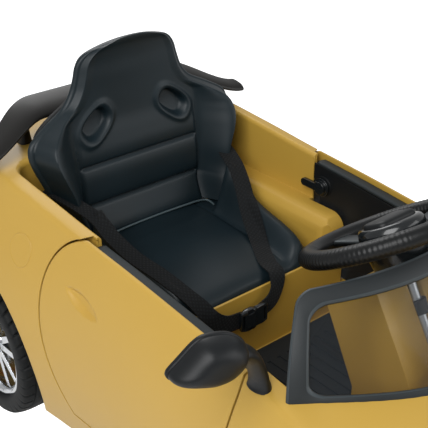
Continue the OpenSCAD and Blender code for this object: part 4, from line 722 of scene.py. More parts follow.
# %% Side outlines
door_front, door_rear, door_sweep, door_low_z, entry_low_z = 200.0, 122.0, 84.0, 388.0, 474.0
door_gap, door_rake = 3.0, 16.0
door_top_z = sill_z + body_h * 1.2
front_axle_y, rear_axle_y, axle_z, arch_r, arch_rise = -412.0, 378.0, 385.0, 162.0, 14.0


def door_outline(by):
    """The door's skin from the side, y and z, made smaller by a gap."""
    t = np.linspace(0, 1, 29)[:, None]
    rear = bezier(
        np.array([door_rear, sill_z + body_h * 0.97]),
        np.array([door_rear + door_sweep * 1.37, sill_z + body_h * 0.894]),
        np.array([door_rear + door_sweep, sill_z + body_h * 0.435]),
        np.array([door_rear + door_sweep * 0.15, door_low_z]), t)
    front = [[-door_front + door_rake, door_low_z], [-door_front, sill_z + body_h * 0.80],
             [-door_front, door_top_z], [door_rear, door_top_z]]
    return shrink(np.vstack([front, rear]), by)


def entry_outline(by):
    """The opening that the child steps through, y and z."""
    corner = 30.0
    return shrink([
        [-door_front + door_rake, entry_low_z], [-door_front, sill_z + body_h * 0.80],
        [-door_front, door_top_z], [door_rear, door_top_z], [door_rear, sill_z + body_h * 0.8],
        [door_rear - corner / 3, entry_low_z + corner], [door_rear - corner, entry_low_z],
    ], by)


def side_prism(outline, from_x, side, to_x=620.0):
    """A prism from one distance off the middle outwards, on one side."""
    return prism(outline, side * from_x, side * to_x, 0)


# %% Lamps, grille and rear panel outlines
lamp_w, lamp_h, lamp_z = 92.0, 44.0, sill_z + body_h * 0.46
grille_z, tail_lamp_z, diffuser_z = sill_z + body_h * 0.16, sill_z + body_h * 0.62, sill_z + body_h * 0.24
tail_y = nose_y + car_len
nose_band = (nose_y - 2, nose_y - 2 + car_len * 0.05)
lamp_band = (nose_y - 2, nose_y - 2 + car_len * 0.12)
tail_band = (tail_y - car_len * 0.05, tail_y + 2)


def lamp_outline(side, by):
    """An oval turned a little up at its outer end."""
    oval = circle(1, 48) * [lamp_w / 2 - by, lamp_h / 2 - by]
    turned = np.stack(turned_by(oval[:, 0], oval[:, 1], math.radians(8 * side)), -1)
    return turned + [side * 0.60 * half_w, lamp_z]


# %% Body shell
def build_shell():
    """The shell: the form less its cavity, the tub and every opening."""
    shell = loft("body_skin", rings)
    cavity = loft("cavity", body_rings(wall, body_rows(3, wall), 12, 12))
    for part in tub_parts(wall):
        carve(cavity, part)
    carve(shell, cavity)
    for part in tub_parts(0):
        carve(shell, part)
    y0, y1, z0, z1 = seat_base_y, seat_base_y + wall, seat_floor_z, seat_floor_z + seat_lip_h
    lip = prism([[y0, z0], [y1, z0], [y1, z1], [y0, z1]], -recess_w / 2 - 1, recess_w / 2 + 1, 0)
    carve(shell, lip, "UNION")
    for side in (-1, 1):
        for y in (front_axle_y, rear_axle_y):
            carve(shell, side_prism(circle(arch_r, 96) + [y, axle_z + arch_rise], tub_half + 4 * wall, side))
        carve(shell, side_prism(door_outline(0), tub_half + 2 * wall, side))
        carve(shell, side_prism(entry_outline(0), tub_half - 2 * wall, side))
        carve(shell, prism(lamp_outline(side, 0), *lamp_band, 1))
    grille, tail_lamp, diffuser = (250, 46, 18), (330, 20, 9), (300, 56, 11)
    for box, z, band in ((grille, grille_z, nose_band), (tail_lamp, tail_lamp_z, tail_band),
                         (diffuser, diffuser_z, tail_band)):
        carve(shell, prism(rounded_box(*box) + [0, z], *band, 1))
    crisp(shell, 32)
    return shell


body_skin = build_shell()
share = follow_skin(body_skin)
dress(body_skin, body_lacquer, "car", "body_shell")
print("body skin:", len(body_skin.data.polygons), "faces,", round(share * 100), "% shaded from the form")

# %% [markdown]
# Each door is a pan cut from the same form, so its skin runs on from the shell's. A handle recess
# shaped like a leaf is pressed into it. A dent like this could be sculpted, but here the points
# near it are simply moved inwards by an amount that depends on where they are in the leaf.

# %% Door pans
lining_x, lining_t, lining_proud = tub_half, 19.0, 1.0
lining_outer = lining_x + lining_t - lining_proud
door_span = (-212.0, 216.0)
leaf_mid, leaf_dir = np.array([106.0, 592.0]), math.radians(12)
leaf_half, leaf_wide, leaf_deep = 40.0, 13.5, 7.0


def leaf_depth(y, z):
    """Depth of the recess: deepest on the leaf's long axis, gone at its two curved edges."""
    a, b = turned_by(y - leaf_mid[0], z - leaf_mid[1], -leaf_dir)
    inside = np.clip(1 - (a / leaf_half) ** 2, 0, 1) ** 0.8
    edge = np.abs(b) / np.maximum(leaf_wide * inside, 1e-3)
    return leaf_deep * inside * (1 - smooth((edge - 0.35) / 0.65)) * (np.abs(a) < leaf_half)


def half_form(y, inset, side_n, top_n, side):
    """Closed sections of one half of the body form, with a flat face on the middle line."""
    x, z = section(y, inset, np.linspace(0, 1, side_n), np.linspace(0, 1, top_n + 1)[1:] ** 1.6)
    x, z = np.concatenate([x[:, :1] * 0, x], 1), np.concatenate([z[:, :1], z], 1)
    return np.stack([x * side, np.broadcast_to(y[:, None], x.shape), z], -1)


def build_door(side):
    """The form between the seams, pressed in at the handle, less a wall-deep hollow."""
    points = half_form(np.arange(*door_span, 2.4), 0, 130, 12, side)
    dent = leaf_depth(points[..., 1], points[..., 2]) * (np.abs(points[..., 0]) > tub_half)
    points = points - skin_normal(points) * dent[..., None]
    skin = loft(sided("door_skin", side), points)
    carve(skin, side_prism(door_outline(door_gap), lining_outer + 0.3, side), "INTERSECT")
    hollow = loft("hollow", half_form(np.linspace(*door_span, 40), wall + 5, 24, 10, side))
    carve(hollow, side_prism(door_outline(door_gap + wall), lining_outer - 2, side), "INTERSECT")
    carve(skin, hollow)
    crisp(skin, 32)
    follow_skin(skin)
    name = sided("door", side)
    return dress(skin, body_lacquer, name, name)


doors = both(build_door)
print("door skins:", [len(d.data.polygons) for d in doors], "faces")

# %% [markdown]
# An open door shows its jamb: a shallow tray in the body's colour that closes the hollow between
# the outer skin and the tub. It is the same form again, cut a little wider than the door's seam,
# hollowed from outside, with the opening for the step-through.

# %% Door jambs
jamb_t, jamb_floor_x = 3.5, tub_half + wall + 0.5


def build_jamb(side):
    """The form inside a slightly larger seam, less the seam's own space, less the step-through."""
    form = half_form(np.linspace(*door_span, 120), 1.0, 60, 10, side)
    jamb = loft(sided("door_jamb", side), form)
    carve(jamb, side_prism(door_outline(-jamb_t), jamb_floor_x, side), "INTERSECT")
    carve(jamb, side_prism(door_outline(-0.2), jamb_floor_x + jamb_t - 0.5, side))
    carve(jamb, side_prism(entry_outline(-0.2), tub_half, side))
    crisp(jamb, 32)
    return dress(jamb, body_lacquer, "car")


jambs = both(build_jamb)
print("door jambs:", [len(j.data.polygons) for j in jambs], "faces")

# %% [markdown]
# A round line on the rear quarter marks a false fuel flap. It is part of the same moulding, so it
# is a very thin patch that follows the skin, a fraction of a millimetre proud with a soft rim.

# %% Fuel flap
flap_mid, flap_r, flap_proud = np.array([254.0, 612.0]), 26.0, 0.9


def build_flap():
    """Rings of points round the flap's centre, set on the skin, raised at the rim's inside."""
    share = np.concatenate([np.linspace(0.02, 0.86, 12), [0.89, 0.92, 0.95, 0.98, 1.0, 1.0]])
    lift = np.concatenate([np.full(12, 0.35), [0.35, 0.5, flap_proud, 0.6, 0.0, -1.0]])
    a = turns(72)
    y = flap_mid[0] + flap_r * share[:, None] * np.cos(a) * (1 + 0.10 * np.cos(a - 0.8))
    z = flap_mid[1] + flap_r * share[:, None] * np.sin(a) * 0.94
    points = np.stack([-skin_x(y, z), y, z], -1)
    points = points + skin_normal(points) * lift[:, None, None]
    patch = loft("fuel_flap", points, 60)
    return dress(patch, body_lacquer, "car")


def skin_x(y, z):
    """Half width of the skin at each height, found by closing in on the gap from both sides."""
    low, high = np.full(y.shape, 150.0), np.full(y.shape, 330.0)
    for _ in range(24):
        mid = (low + high) / 2
        outside = skin_gap(np.stack([-mid, y, z], -1)) > 0
        low, high = np.where(outside, low, mid), np.where(outside, mid, high)
    return (low + high) / 2


fuel_flap = build_flap()
print("fuel flap stands at x", round(fuel_flap.bound_box[0][0], 3), "m")

# %% [markdown]
# The seat back is a bucket: a flat panel with two stitched channels, bolsters that come forward
# at both sides, a narrow head with two oval recesses, and a piping-sharp edge all round the front.
# A sculptor would push clay about. Here the front is a height field: each point's depth is a sum
# of simple rules, one for each feature, over its height and its share across the width.

# %% Seat back form
seat_y, seat_z, back_h, back_w, bolster_d = 290.0, 560.0, 306.0, 388.0, 44.0
back_pad_t, seat_gap = 26.0, 0.3
back_shares = glide_rows([
    [0.000, 0.79, 0.002, 0.85, 0.9], [0.120, 0.805, 0.055, 1.00, 1.0], [0.200, 0.86, 0.060, 1.00, 1.0],
    [0.300, 0.895, 0.064, 1.00, 1.0], [0.420, 0.970, 0.076, 1.00, 1.0], [0.500, 1.000, 0.090, 0.92, 1.0],
    [0.565, 0.965, 0.102, 0.74, 1.0], [0.625, 0.815, 0.110, 0.55, 1.0], [0.685, 0.640, 0.115, 0.44, 1.0],
    [0.750, 0.555, 0.118, 0.38, 1.0], [0.820, 0.512, 0.118, 0.34, 1.0], [0.880, 0.485, 0.118, 0.30, 1.0],
    [0.930, 0.447, 0.112, 0.22, 0.95], [0.965, 0.400, 0.102, 0.12, 0.8], [0.988, 0.335, 0.085, 0.04, 0.7],
    [1.000, 0.250, 0.072, 0.00, 0.55],
], 12)
channel_shares = (0.158, 0.372)
recess_mid, recess_lean = (78.0, back_h * 0.58), math.radians(52)
panel_half, ridge_share, head_dome = 121.0, 0.92, 9.0
recess_long, recess_short, recess_deep, recess_roll = 27.0, 17.0, 12.0, 3.2
quilt_h, stitch_deep, stitch_w, seam_deep, seam_w = 4.0, 3.5, 2.6, 1.6, 1.8


def back_values(v):
    """Half width, set-back, bolster depth and thickness share at each height share."""
    return [value[:, None] for value in read(back_shares, v)]


def back_depth(v, u):
    """Depth of the front face: the panel's set-back, less bolsters and quilting, plus recesses."""
    half, back, bolster, _ = back_values(v)
    half = half * back_w / 2
    v = v[:, None]
    x, z = u * half, v * back_h
    depth = seat_y + back * back_h
    inner, ridge = np.minimum(panel_half, half * 0.76), half * ridge_share
    rise = smooth((np.abs(x) - inner) / (ridge - inner))
    fall = np.clip((np.abs(x) - ridge) / (half - ridge), 0, 1)
    head = smooth((v - 0.55) / 0.14)
    proud = bolster * bolster_d * (1 - 0.92 * head)
    depth = depth - proud * rise + (proud + 2 + 6 * head) * fall ** 1.1
    panel = 1 - smooth((np.abs(x) - inner + 8) / 8)
    for low, high in ((0.0, channel_shares[0]), channel_shares, (channel_shares[1], 0.60)):
        t = np.clip((v - low) / (high - low), 0, 1)
        fade = 1 if high < 0.5 else np.clip(1 - t, 0, 1)
        depth = depth - quilt_h * (1 - np.abs(2 * t - 1) ** 3) * panel * fade * (t > 0) * (t < 1)
    for share in channel_shares:
        depth = depth + stitch_deep * np.exp(-((z - share * back_h) / stitch_w) ** 2) * panel
    seam = np.exp(-((np.abs(x) - inner) / seam_w) ** 2) * (1 - smooth((v - 0.50) / 0.08))
    depth = depth + seam_deep * seam
    b, a = turned_by(recess_mid[0] - np.abs(x), z - recess_mid[1], recess_lean)
    q = (np.abs(a / recess_long) ** 2.6 + np.abs(b / recess_short) ** 2.6) ** (1 / 2.6)
    depth = depth + recess_deep * (1 - smooth((q - 0.80) / 0.30))
    depth = depth - recess_roll * np.exp(-((q - 1.30) / 0.22) ** 2)
    return depth


def back_rings(v, front_n, corner_n, rear_n):
    """Closed rings: across the front, round a small corner, along the flank and across the rear."""
    half, back, bolster, thick = back_values(v)
    half = half * back_w / 2
    round_r = 7.0
    u = np.sin(np.linspace(-np.pi / 2, np.pi / 2, front_n)) * 0.35 + np.linspace(-1, 1, front_n) * 0.65
    front = back_depth(v, u[None, :])
    close = np.sqrt(np.clip(1 - np.clip((v[:, None] - 0.965) / 0.035, 0, 1) ** 2, 0.02, 1))
    rear_mid = seat_y + back * back_h + thick * back_pad_t
    fx = u * (half - round_r)
    a = np.linspace(0, np.pi / 2, corner_n)[None, 1:]
    cx, cy = half - round_r + round_r * np.sin(a), front[:, -1:] + round_r * (1 - np.cos(a))
    w = np.linspace(1, -1, rear_n)[None, :]
    rx, ry = w * (half - 3) * 0.985, rear_mid - bolster_d * 0.42 * bolster * np.abs(w) ** 4
    x = np.concatenate([fx, cx, rx, -cx[:, ::-1]], 1)
    y = np.concatenate([front, cy, ry, cy[:, ::-1]], 1)
    middle = (front[:, front_n // 2][:, None] + rear_mid) / 2
    y = middle + (y - middle) * close
    share = np.clip(np.abs(x) / half, 0, 1)
    dome = head_dome * smooth((v[:, None] - 0.86) / 0.14) * share ** 2.4
    z = seat_z + seat_gap + v[:, None] * back_h - dome
    return np.stack([x, y, z], -1)


# %% Seat back cover
top_heights = 0.965 + 0.035 * np.sin(np.linspace(0, np.pi / 2, 14))
heights = np.concatenate([np.linspace(0, 0.955, 170), top_heights])
seat_back = loft("seat_back_cover", back_rings(heights, 190, 6, 40), 60)
dress(seat_back, seat_vinyl, "car", "seat_back_pad")
print("seat back:", len(seat_back.data.polygons), "faces")

# %% [markdown]
# The cushion fills the seat recess. Its front is a round roll, two soft ridges run back along its
# sides, and they rise into hip bolsters where they meet the seat back. A height field again: the
# height of each point is a table along the seat, times a wave across it.

# %% Seat cushion
cushion_front, cushion_rear, cushion_w, cushion_top = 47.0, 290.0, 300.0, 45.0
cushion_seam_u = 0.62
cushion_table = glide_rows([
    [0.00, 0.78, 0.44, 0.00], [0.02, 0.85, 0.64, 0.12], [0.08, 0.90, 0.79, 0.46], [0.22, 0.94, 0.87, 0.62],
    [0.45, 0.97, 0.93, 0.78], [0.62, 0.98, 0.96, 1.10], [0.74, 1.00, 0.97, 1.55], [0.785, 1.00, 0.98, 1.76],
    [0.815, 1.00, 0.985, 1.60], [0.84, 1.00, 0.985, 0.02], [1.00, 1.00, 0.985, 0.00],
], 10)


def cushion_values(s):
    """Half width, height and bolster height at each share along the seat."""
    return read(cushion_table, s)


def cushion_height(x, y):
    """Top of the cushion over a point: the row's height, its crown, the bolster wave and a seam."""
    wide, high, bolster = cushion_values((y - cushion_front) / (cushion_rear - cushion_front))
    u = np.clip(np.abs(x) / (wide * cushion_w / 2), 0, 1)
    wave = smooth((u - 0.64) / 0.22) * (1 - smooth((u - 0.90) / 0.10) * 0.75)
    seam = np.exp(-((u - cushion_seam_u) * 150 / 2.0) ** 2) * smooth((y - cushion_front - 12) / 18)
    crown = 0.035 * np.cos(np.clip(u / cushion_seam_u, 0, 1) * np.pi)
    rise = high * (1 - 0.10 * u ** 4) + np.maximum(bolster, 0) * wave + crown - 0.05 * seam
    return seat_floor_z + cushion_top * rise


def build_cushion():
    """Rings from front to rear: over the top, down both sides, and back along the flat base."""
    spans = ((0, 0.10, 22), (0.11, 0.78, 60), (0.787, 0.87, 26), (0.89, 1, 6))
    s = np.concatenate([np.linspace(*span) for span in spans])
    y = cushion_front + s * (cushion_rear - cushion_front)
    half = cushion_values(s)[0] * cushion_w / 2
    u = np.linspace(-1, 1, 130)
    x = half[:, None] * u
    top = cushion_height(x, y[:, None])
    low = seat_floor_z + seat_gap
    down = np.linspace(0, 1, 12)[None, 1:]
    side_z = top[:, -1:] + (low - top[:, -1:]) * down
    side_x = half[:, None] * (1 - 0.05 * down ** 3) + 2.0 * np.sin(down * np.pi)
    base_x = np.linspace(1, -1, 10)[None, 1:-1] * half[:, None] * 0.95
    x = np.concatenate([x, side_x, base_x, -side_x[:, ::-1]], 1)
    z = np.concatenate([top, side_z, base_x * 0 + low, side_z[:, ::-1]], 1)
    return loft("seat_cushion_cover", np.stack([x, y[:, None] + 0 * x, z], -1), 60)


cushion = dress(build_cushion(), seat_vinyl, "car", "seat_cushion")
print("seat cushion:", len(cushion.data.polygons), "faces")

# %% [markdown]
# Piping, straps and stalks are all tubes: an outline carried along a path. The path runs smoothly
# through a few points, and the outline keeps square to it.

# %% Tubes along a path
def frames(path, up):
    """Directions along a path, across it and over it, from a rough up direction at each point."""
    along = np.gradient(path, axis=0)
    along /= np.linalg.norm(along, axis=1)[:, None]
    across = np.cross(along, up)
    across /= np.linalg.norm(across, axis=1)[:, None]
    return along, across, np.cross(across, along)


def tube(name, path, up, outline, scale=None, angle=40):
    """A closed tube: the outline's two axes lie across and over the path, scaled at each point."""
    _, across, over = frames(path, np.broadcast_to(up, path.shape))
    scale = np.ones((len(path), 2)) if scale is None else scale
    a = outline[None, :, 0, None] * across[:, None] * scale[:, None, :1]
    b = outline[None, :, 1, None] * over[:, None] * scale[:, None, 1:]
    return loft(name, path[:, None] + a + b, angle)


crease = glide_rows([
    [-112, 262, 558], [-106, 283, 561], [-60, 287, 562.5], [0, 288, 563],
    [60, 287, 562.5], [108, 283, 561], [113, 262, 558],
], 12)
piping = tube("crease_piping", crease, (0, 0, 1), circle(1.8, 16))
# The piping's pale grey is a painted highlight: it stands for the light line along the crease between back
# and cushion.
piping_painted_highlight = plastic("pale_piping_painted_highlight", "#39464A", "#445156", 0.45, 0.0012, 0.1)
dress(piping, piping_painted_highlight, "car")
print("piping:", len(piping.data.polygons), "faces")

# %% [markdown]
# The lap belt comes out from behind the hip bolster on each side, climbs over it, lies on the
# cushion, falls over its front edge and ends at a side-release buckle. The webbing is a flat
# strip that follows the vinyl below it: no point of the strip may lie lower than the cushion.

# %% Lap belt
webbing_w, webbing_t, belt_lift = 28.0, 2.2, 0.9
buckle_x, buckle_y, buckle_z = -14.0, 28.2, 509.4
buckle_w, buckle_h, buckle_t = 52.0, 37.0, 13.0
belt_flat = {
    -1: [[-138, 234], [-134, 205], [-127, 160], [-118, 110], [-108, 66]],
    1: [[137, 234], [126, 205], [111, 172], [86, 120], [58, 72]],
}
belt_end = {
    -1: [[-97, 43, 549], [-87, 32, 531], [-66, 28, 515], [buckle_x - 22, 28, buckle_z]],
    1: [[50, 43, 550], [41, 32, 533], [27, 28, 518], [buckle_x + 20, 28, buckle_z]],
}
webbing_run = {}


def belt_path(side):
    """Route points of one strap and the way its face looks at each."""
    hidden = np.array([[160, 330, 650], [158, 302, 647], [149, 268, 640]], float) * [side, 1, 1]
    start = list(hidden)
    faces = [(0, -0.2, 1), (-side * 0.1, -0.2, 1), (-side * 0.1, -0.2, 1)]
    for x, y in belt_flat[side]:
        start.append(np.array([x, y, float(cushion_height(x, y)) + 2.0]))
        faces.append((0, -0.1, 1))
    start += [np.array(p, float) for p in belt_end[side]]
    faces += [(0, -0.7, 0.7), (0, -1, 0), (0, -1, 0), (0, -1, 0)]
    return np.array(start), np.array(faces, float)


def build_strap(side):
    """The strip, dropped onto the cushion, with a UV map that runs along and across it."""
    points, faces = belt_path(side)
    path, up = glide_rows(points, 14), glide_rows(faces, 14)
    _, across, over = frames(path, up)
    v = np.concatenate([np.linspace(-1, 1, 15), [1.0], np.linspace(1, -1, 15), [-1.0]])
    lift = np.concatenate([np.full(15, 1.0), [0.5], np.full(15, 0.0), [0.5]]) * webbing_t
    side_in = np.where(np.abs(v) > 0.999, 1.0, 0.99)
    wide = (v * side_in * webbing_w / 2)[None, :, None]
    ring = path[:, None] + across[:, None] * wide + over[:, None] * lift[None, :, None]
    on_seat = smooth((path[:, 1] - 46) / 8) * smooth((262 - path[:, 1]) / 14)
    floor = cushion_height(ring[..., 0], ring[..., 1]) + belt_lift + lift[None]
    ring[..., 2] = np.where((on_seat[:, None] > 0.5), np.maximum(ring[..., 2], floor), ring[..., 2])
    tag = "far" if side > 0 else "near"
    strap = loft("lap_strap_" + tag, ring, 40)
    run = np.concatenate([[0], np.cumsum(np.linalg.norm(np.diff(path, axis=0), axis=1))]) * MM
    webbing_run[tag] = round(float(run[-1]), 3)
    u = np.repeat(run, len(v))
    w = np.tile(v * webbing_w / 2 * MM, len(path))
    corner = listed(strap.data.loops, "vertex_index")
    layer = strap.data.uv_layers.new(name="strap")
    layer.data.foreach_set("uv", np.stack([u[corner], w[corner]], -1).ravel())
    return dress(strap, belt_webbing, "car", *(["seat_belts"] if side > 0 else []))


straps = both(build_strap)
print("straps:", [len(s.data.polygons) for s in straps], "faces; whole run in metres:", webbing_run)

# %% [markdown]
# The buckle is the common side-release kind: a hollow socket with a window at each side, where
# the two springy prongs of the tongue show. Each part is a run of round-cornered boxes.

# %% Buckle
def stations(name, rows, radius, place, steps=6):
    """Boxes with round corners at stations along x: x, height and thickness."""
    rings = []
    for x, high, thick in rows:
        box = rounded_box(thick, high, min(radius, thick * 0.48, high * 0.48), steps)
        rings.append(station(box, 0, x))
    return loft(name, np.stack(rings) + np.array(place), 40)


def build_buckle():
    """Socket on the right with its side windows, tongue on the left with bar and prongs."""
    place = (buckle_x, buckle_y - buckle_t * 0.55, buckle_z)
    h, t, w = buckle_h, buckle_t, buckle_w

    def pierce(piece, width, height, radius, share_x, share_z=0.0):
        """Cuts a round-cornered hole right through, at shares of the width and height."""
        hole = rounded_box(width, height, radius) + [buckle_x + w * share_x, buckle_z + h * share_z]
        carve(piece, prism(hole, place[1] - t, place[1] + t, 1))

    socket = stations("buckle_socket", [
        [-w * 0.50, h * 0.80, t * 0.50], [-w * 0.49, h * 0.86, t * 0.62], [-w * 0.40, h * 0.95, t * 0.80],
        [-w * 0.25, h, t * 0.98], [-w * 0.08, h * 0.98, t], [0.0, h * 0.94, t * 0.92],
        [w * 0.012, h * 0.90, t * 0.80]], 4.5, place)
    for high in (-1, 1):
        pierce(socket, w * 0.24, 6.0, 2.8, -0.20, high * 0.40)
    pierce(socket, 3.2, h * 0.66, 1.5, -0.435)
    crisp(socket, 40)
    dress(socket, gloss_abs, "car", "belt_buckle")
    tongue = stations("buckle_tongue", [
        [w * 0.02, h * 0.80, t * 0.50], [w * 0.05, h * 0.90, t * 0.62], [w * 0.30, h * 0.92, t * 0.62],
        [w * 0.46, h * 0.84, t * 0.50], [w * 0.49, h * 0.78, t * 0.36]], 3.0, place)
    pierce(tongue, 3.6, h * 0.66, 1.7, 0.36)
    crisp(tongue, 40)
    dress(tongue, gloss_abs, "car")
    for high, tag in ((-1, "low"), (1, "top")):
        prong = stations("buckle_prong_" + tag, [
            [-w * 0.36, 3.0, t * 0.34], [-w * 0.33, 4.6, t * 0.44],
            [-w * 0.20, 5.0, t * 0.44], [w * 0.10, 4.4, t * 0.40],
        ], 1.2, (place[0], place[1], buckle_z + high * h * 0.385))
        dress(prong, black_abs, "car")
    return socket


buckle = build_buckle()
keep("belt_anchors", brushed_steel)
back_shell = keep("seat_shell", black_abs, angle=45)
shell_foot = Matrix.Translation(Vector((0, 0, seat_z)) * MM)
slimmer = Matrix.Diagonal((0.95, 1, 0.93, 1))
back_shell.data.transform(shell_foot @ slimmer @ shell_foot.inverted())
print("buckle:", len(buckle.data.polygons), "faces in its socket")

# %% [markdown]
# The windscreen is a curved sheet between an arc on the cowl and a narrower, flatter top edge.
# Its surround is one closed band round the pane. The band's section is bevelled on both edges,
# and the bevels are painted a lighter grey: a painted highlight where the edges catch the light.

# %% Windscreen sheet
# The bevels' lighter grey is a painted highlight, not a colour of the moulding.
screen_bevel_painted_highlight = plastic("grey_screen_bevel_painted_highlight", "#343A3D", "#3D4447", 0.42, 0.0012, 0.10)


def screen_mid(u, v):
    """Point of the sheet at shares across and up: straight lines from foot to top, a little bowed."""
    x = u * screen_w / 2
    foot = np.stack([x, foot_y(x), deck_z(x, foot_y(x)) - screen_t], -1)
    top = np.stack([
        u * screen_top_w / 2, -screen_foot_y + screen_h + screen_bow * 0.44 * u * u,
        deck_z(0 * u, -screen_foot_y + 0 * u) + screen_h * (1 - 0.09 * u * u)], -1)
    bow = np.stack([u * screen_t * 1.3, u * 0 - screen_t * 0.8, u * 0 + screen_t * 0.8], -1)
    return foot + (top - foot) * v[..., None] + bow * np.sin(np.pi * v)[..., None]


def screen_point(u, v, off):
    """A point that stands off the sheet by a distance along its own normal."""
    e = 0.01
    a = screen_mid(u + e, v) - screen_mid(u - e, v)
    b = screen_mid(u, v + e) - screen_mid(u, v - e)
    n = np.cross(a, b)
    n /= np.linalg.norm(n, axis=-1, keepdims=True)
    return screen_mid(u, v) + n * np.asarray(off)[..., None]


def soft_loop(half, low, high, r_low, r_high, side_n=26, arc_n=10):
    """A loop in u and v: straight sides, and corners that are round on the real sheet."""
    ratio = screen_w / 2 / (screen_h * 1.42)
    a = np.linspace(0, np.pi / 2, arc_n)
    parts = []
    for quarter, (side, level, r) in enumerate((
            (1, high - r_high * ratio, r_high), (-1, high - r_high * ratio, r_high),
            (-1, low + r_low * ratio, r_low), (1, low + r_low * ratio, r_low))):
        turned = a + quarter * np.pi / 2
        u, v = side * (half - r) + r * np.cos(turned), level + r * ratio * np.sin(turned)
        parts.append(np.stack([u, v], -1))
    loop = []
    for k, part in enumerate(parts):
        ahead = parts[(k + 1) % 4][0]
        t = np.linspace(0, 1, side_n)[1:-1, None]
        loop += [part, part[-1] + (ahead - part[-1]) * t]
    return np.vstack(loop)


# %% Windscreen surround
def build_surround():
    """Section points from outer edge to pane, each a share between two loops and a stand-off."""
    outer = soft_loop(1.0, -0.01, 1.0, 0.02, 0.085)
    inner = soft_loop(0.915, 0.075, 0.835, 0.075, 0.10)
    shares = np.array([0.0, 0.0, 0.03, 0.12, 0.20, 0.50, 0.80, 0.86, 0.97, 1.0, 1.0, 0.9, 0.5, 0.1])
    offs = np.array([0.5, 3.2, 4.4, 6.0, 6.3, 6.5, 6.3, 6.0, 3.6, 2.6, -0.4, -1.2, -1.2, -0.6])
    u = outer[:, None, 0] + (inner - outer)[:, None, 0] * shares
    v = outer[:, None, 1] + (inner - outer)[:, None, 1] * shares
    points = screen_point(u, v, np.broadcast_to(offs, u.shape))
    m, n = points.shape[:2]
    band = ring_skin("windscreen_surround", points, 50)
    dress(band, screen_grey, "car", "windscreen_frame")
    band.data.materials.append(screen_bevel_painted_highlight)
    # Faces on the two bevels take the lighter grey of the painted highlight.
    slot = np.tile(np.isin(np.arange(n), [1, 2, 7, 8]).astype(np.int32), m)
    band.data.polygons.foreach_set("material_index", slot)
    return band


surround = build_surround()
keep("windscreen_glass", smoked_pane, angle=40)
print("windscreen surround:", len(surround.data.polygons), "faces")

# %% [markdown]
# A mirror housing is a soft dome with a lip round its glass. It is built backwards from the glass:
# one outline, like an egg laid on its side, shrinks towards the front while it moves forwards.

# %% Mirrors
mirror_place = np.array([302.0, -215.0, 716.0])
mirror_w, mirror_h, mirror_d, mirror_turn = 92.0, 56.0, 40.0, math.radians(16)
dome_d = 30.5


def mirror_outline():
    """Egg in x and z: high near its inner third, drooping to a blunt tip at the outer end."""
    a = turns(96)
    x = np.sign(np.cos(a)) * np.abs(np.cos(a)) ** 0.92
    z = np.sin(a)
    high = 1 - 0.42 * smooth((x - 0.0) / 1.0) - 0.10 * smooth((-x - 0.5) / 0.5)
    droop = mirror_h * 0.16 * smooth((x - 0.1) / 0.9)
    return np.stack([x * mirror_w / 2, z * high * mirror_h / 2 - droop], -1)


mirror_shift = np.array([0.0, -8.0, -10.0])


def to_mirror(points, side):
    """From the mirror's own frame to the car's: turned a little, moved out, mirrored for a side."""
    x, y = turned_by(points[..., 0], points[..., 1], mirror_turn)
    moved = np.stack([x, y, points[..., 2]], -1) + mirror_place + mirror_shift
    return moved * [side, 1, 1]


def build_mirror(side):
    """Rings from the recess floor, over the lip, along the dome to its front, then the stalk."""
    egg, glass_y = mirror_outline(), mirror_d * 0.30
    t = np.linspace(0, 1, 30)
    dome = [(share, glass_y + off) for share, off in (
        (0.80, -3.4), (0.84, -3.3), (0.86, 0.3), (0.93, 1.0), (0.985, 0.6),
        (1.0, -0.6), (1.0, -4.4), (0.985, -5.2), (0.965, -5.4), (0.958, -6.2))]
    for k in t[1:] * np.pi / 2:
        dome.append((0.958 * math.cos(k) ** 0.62 + 0.012, glass_y - 6.2 - dome_d * math.sin(k)))
    rings = np.stack([station(egg * share + [-3 * (1 - share), 2 * (1 - share)], 1, y) for share, y in dome])
    housing = loft(sided("mirror_housing", side), to_mirror(rings, side), 45)
    dress(housing, mirror_abs, "car", *(["mirror_housings"] if side > 0 else []))
    foot = np.array([226.0, -219.0, float(deck_z(222.0, -219.0)) - 1.0])
    arm = mirror_place + mirror_shift + [-30, -2, -4]
    route = np.array([
        foot + [0, 0, -4], foot + [1, 0, 6], foot + [5, 0, 22],
        foot + (arm - foot) * [0.35, 0.4, 0.72], foot + (arm - foot) * [0.68, 0.7, 0.95], arm])
    path = glide_rows(route, 8)
    run, marks = np.linspace(0, 1, len(path)), [0, 0.08, 0.25, 0.6, 1]
    wide = np.interp(run, marks, [18, 17, 16, 15, 15])[:, None]
    thick = np.interp(run, marks, [12, 10, 8, 8, 9])[:, None]
    _, across, over = frames(path, np.broadcast_to((-1.0, 0, 0.6), path.shape))
    a = turns(32)
    ring = path[:, None] + across[:, None] * (wide * np.cos(a))[..., None]
    ring = ring + over[:, None] * (thick * np.sin(a))[..., None]
    stalk = loft(sided("mirror_stalk", side), ring * [side, 1, 1], 50)
    return dress(stalk, mirror_abs, "car")


mirrors = both(build_mirror)
glasses = keep("mirror_glasses", silvered, angle=40)
glass_share = 0.90
spots = listed(glasses.data.vertices, "co", 3) / MM
middle = spots.copy()
middle[:, 0] = np.sign(spots[:, 0]) * (mirror_place[0] - 2)
middle[:, 2] = mirror_place[2]
spots = middle + (spots - middle) * glass_share + mirror_shift
glasses.data.vertices.foreach_set("co", (spots * MM).ravel())
print("mirrors:", [len(m.data.polygons) for m in mirrors], "faces in the stalks")

# %% [markdown]
# The rear wing is a blade whose ends droop and sweep forward, on two feet. An aircraft modeller
# would loft it over ribs. The rule here is the same: a rib with a round nose and a thin tail,
# placed at many stations, with its chord, height and set-back as functions of the station.

# %% Rear wing
wing_y, wing_z, wing_half, wing_foot_x = 408.0, 755.0, 262.0, 150.0
wing_chord, wing_tilt, wing_t = 57.0, math.radians(21), 11.0


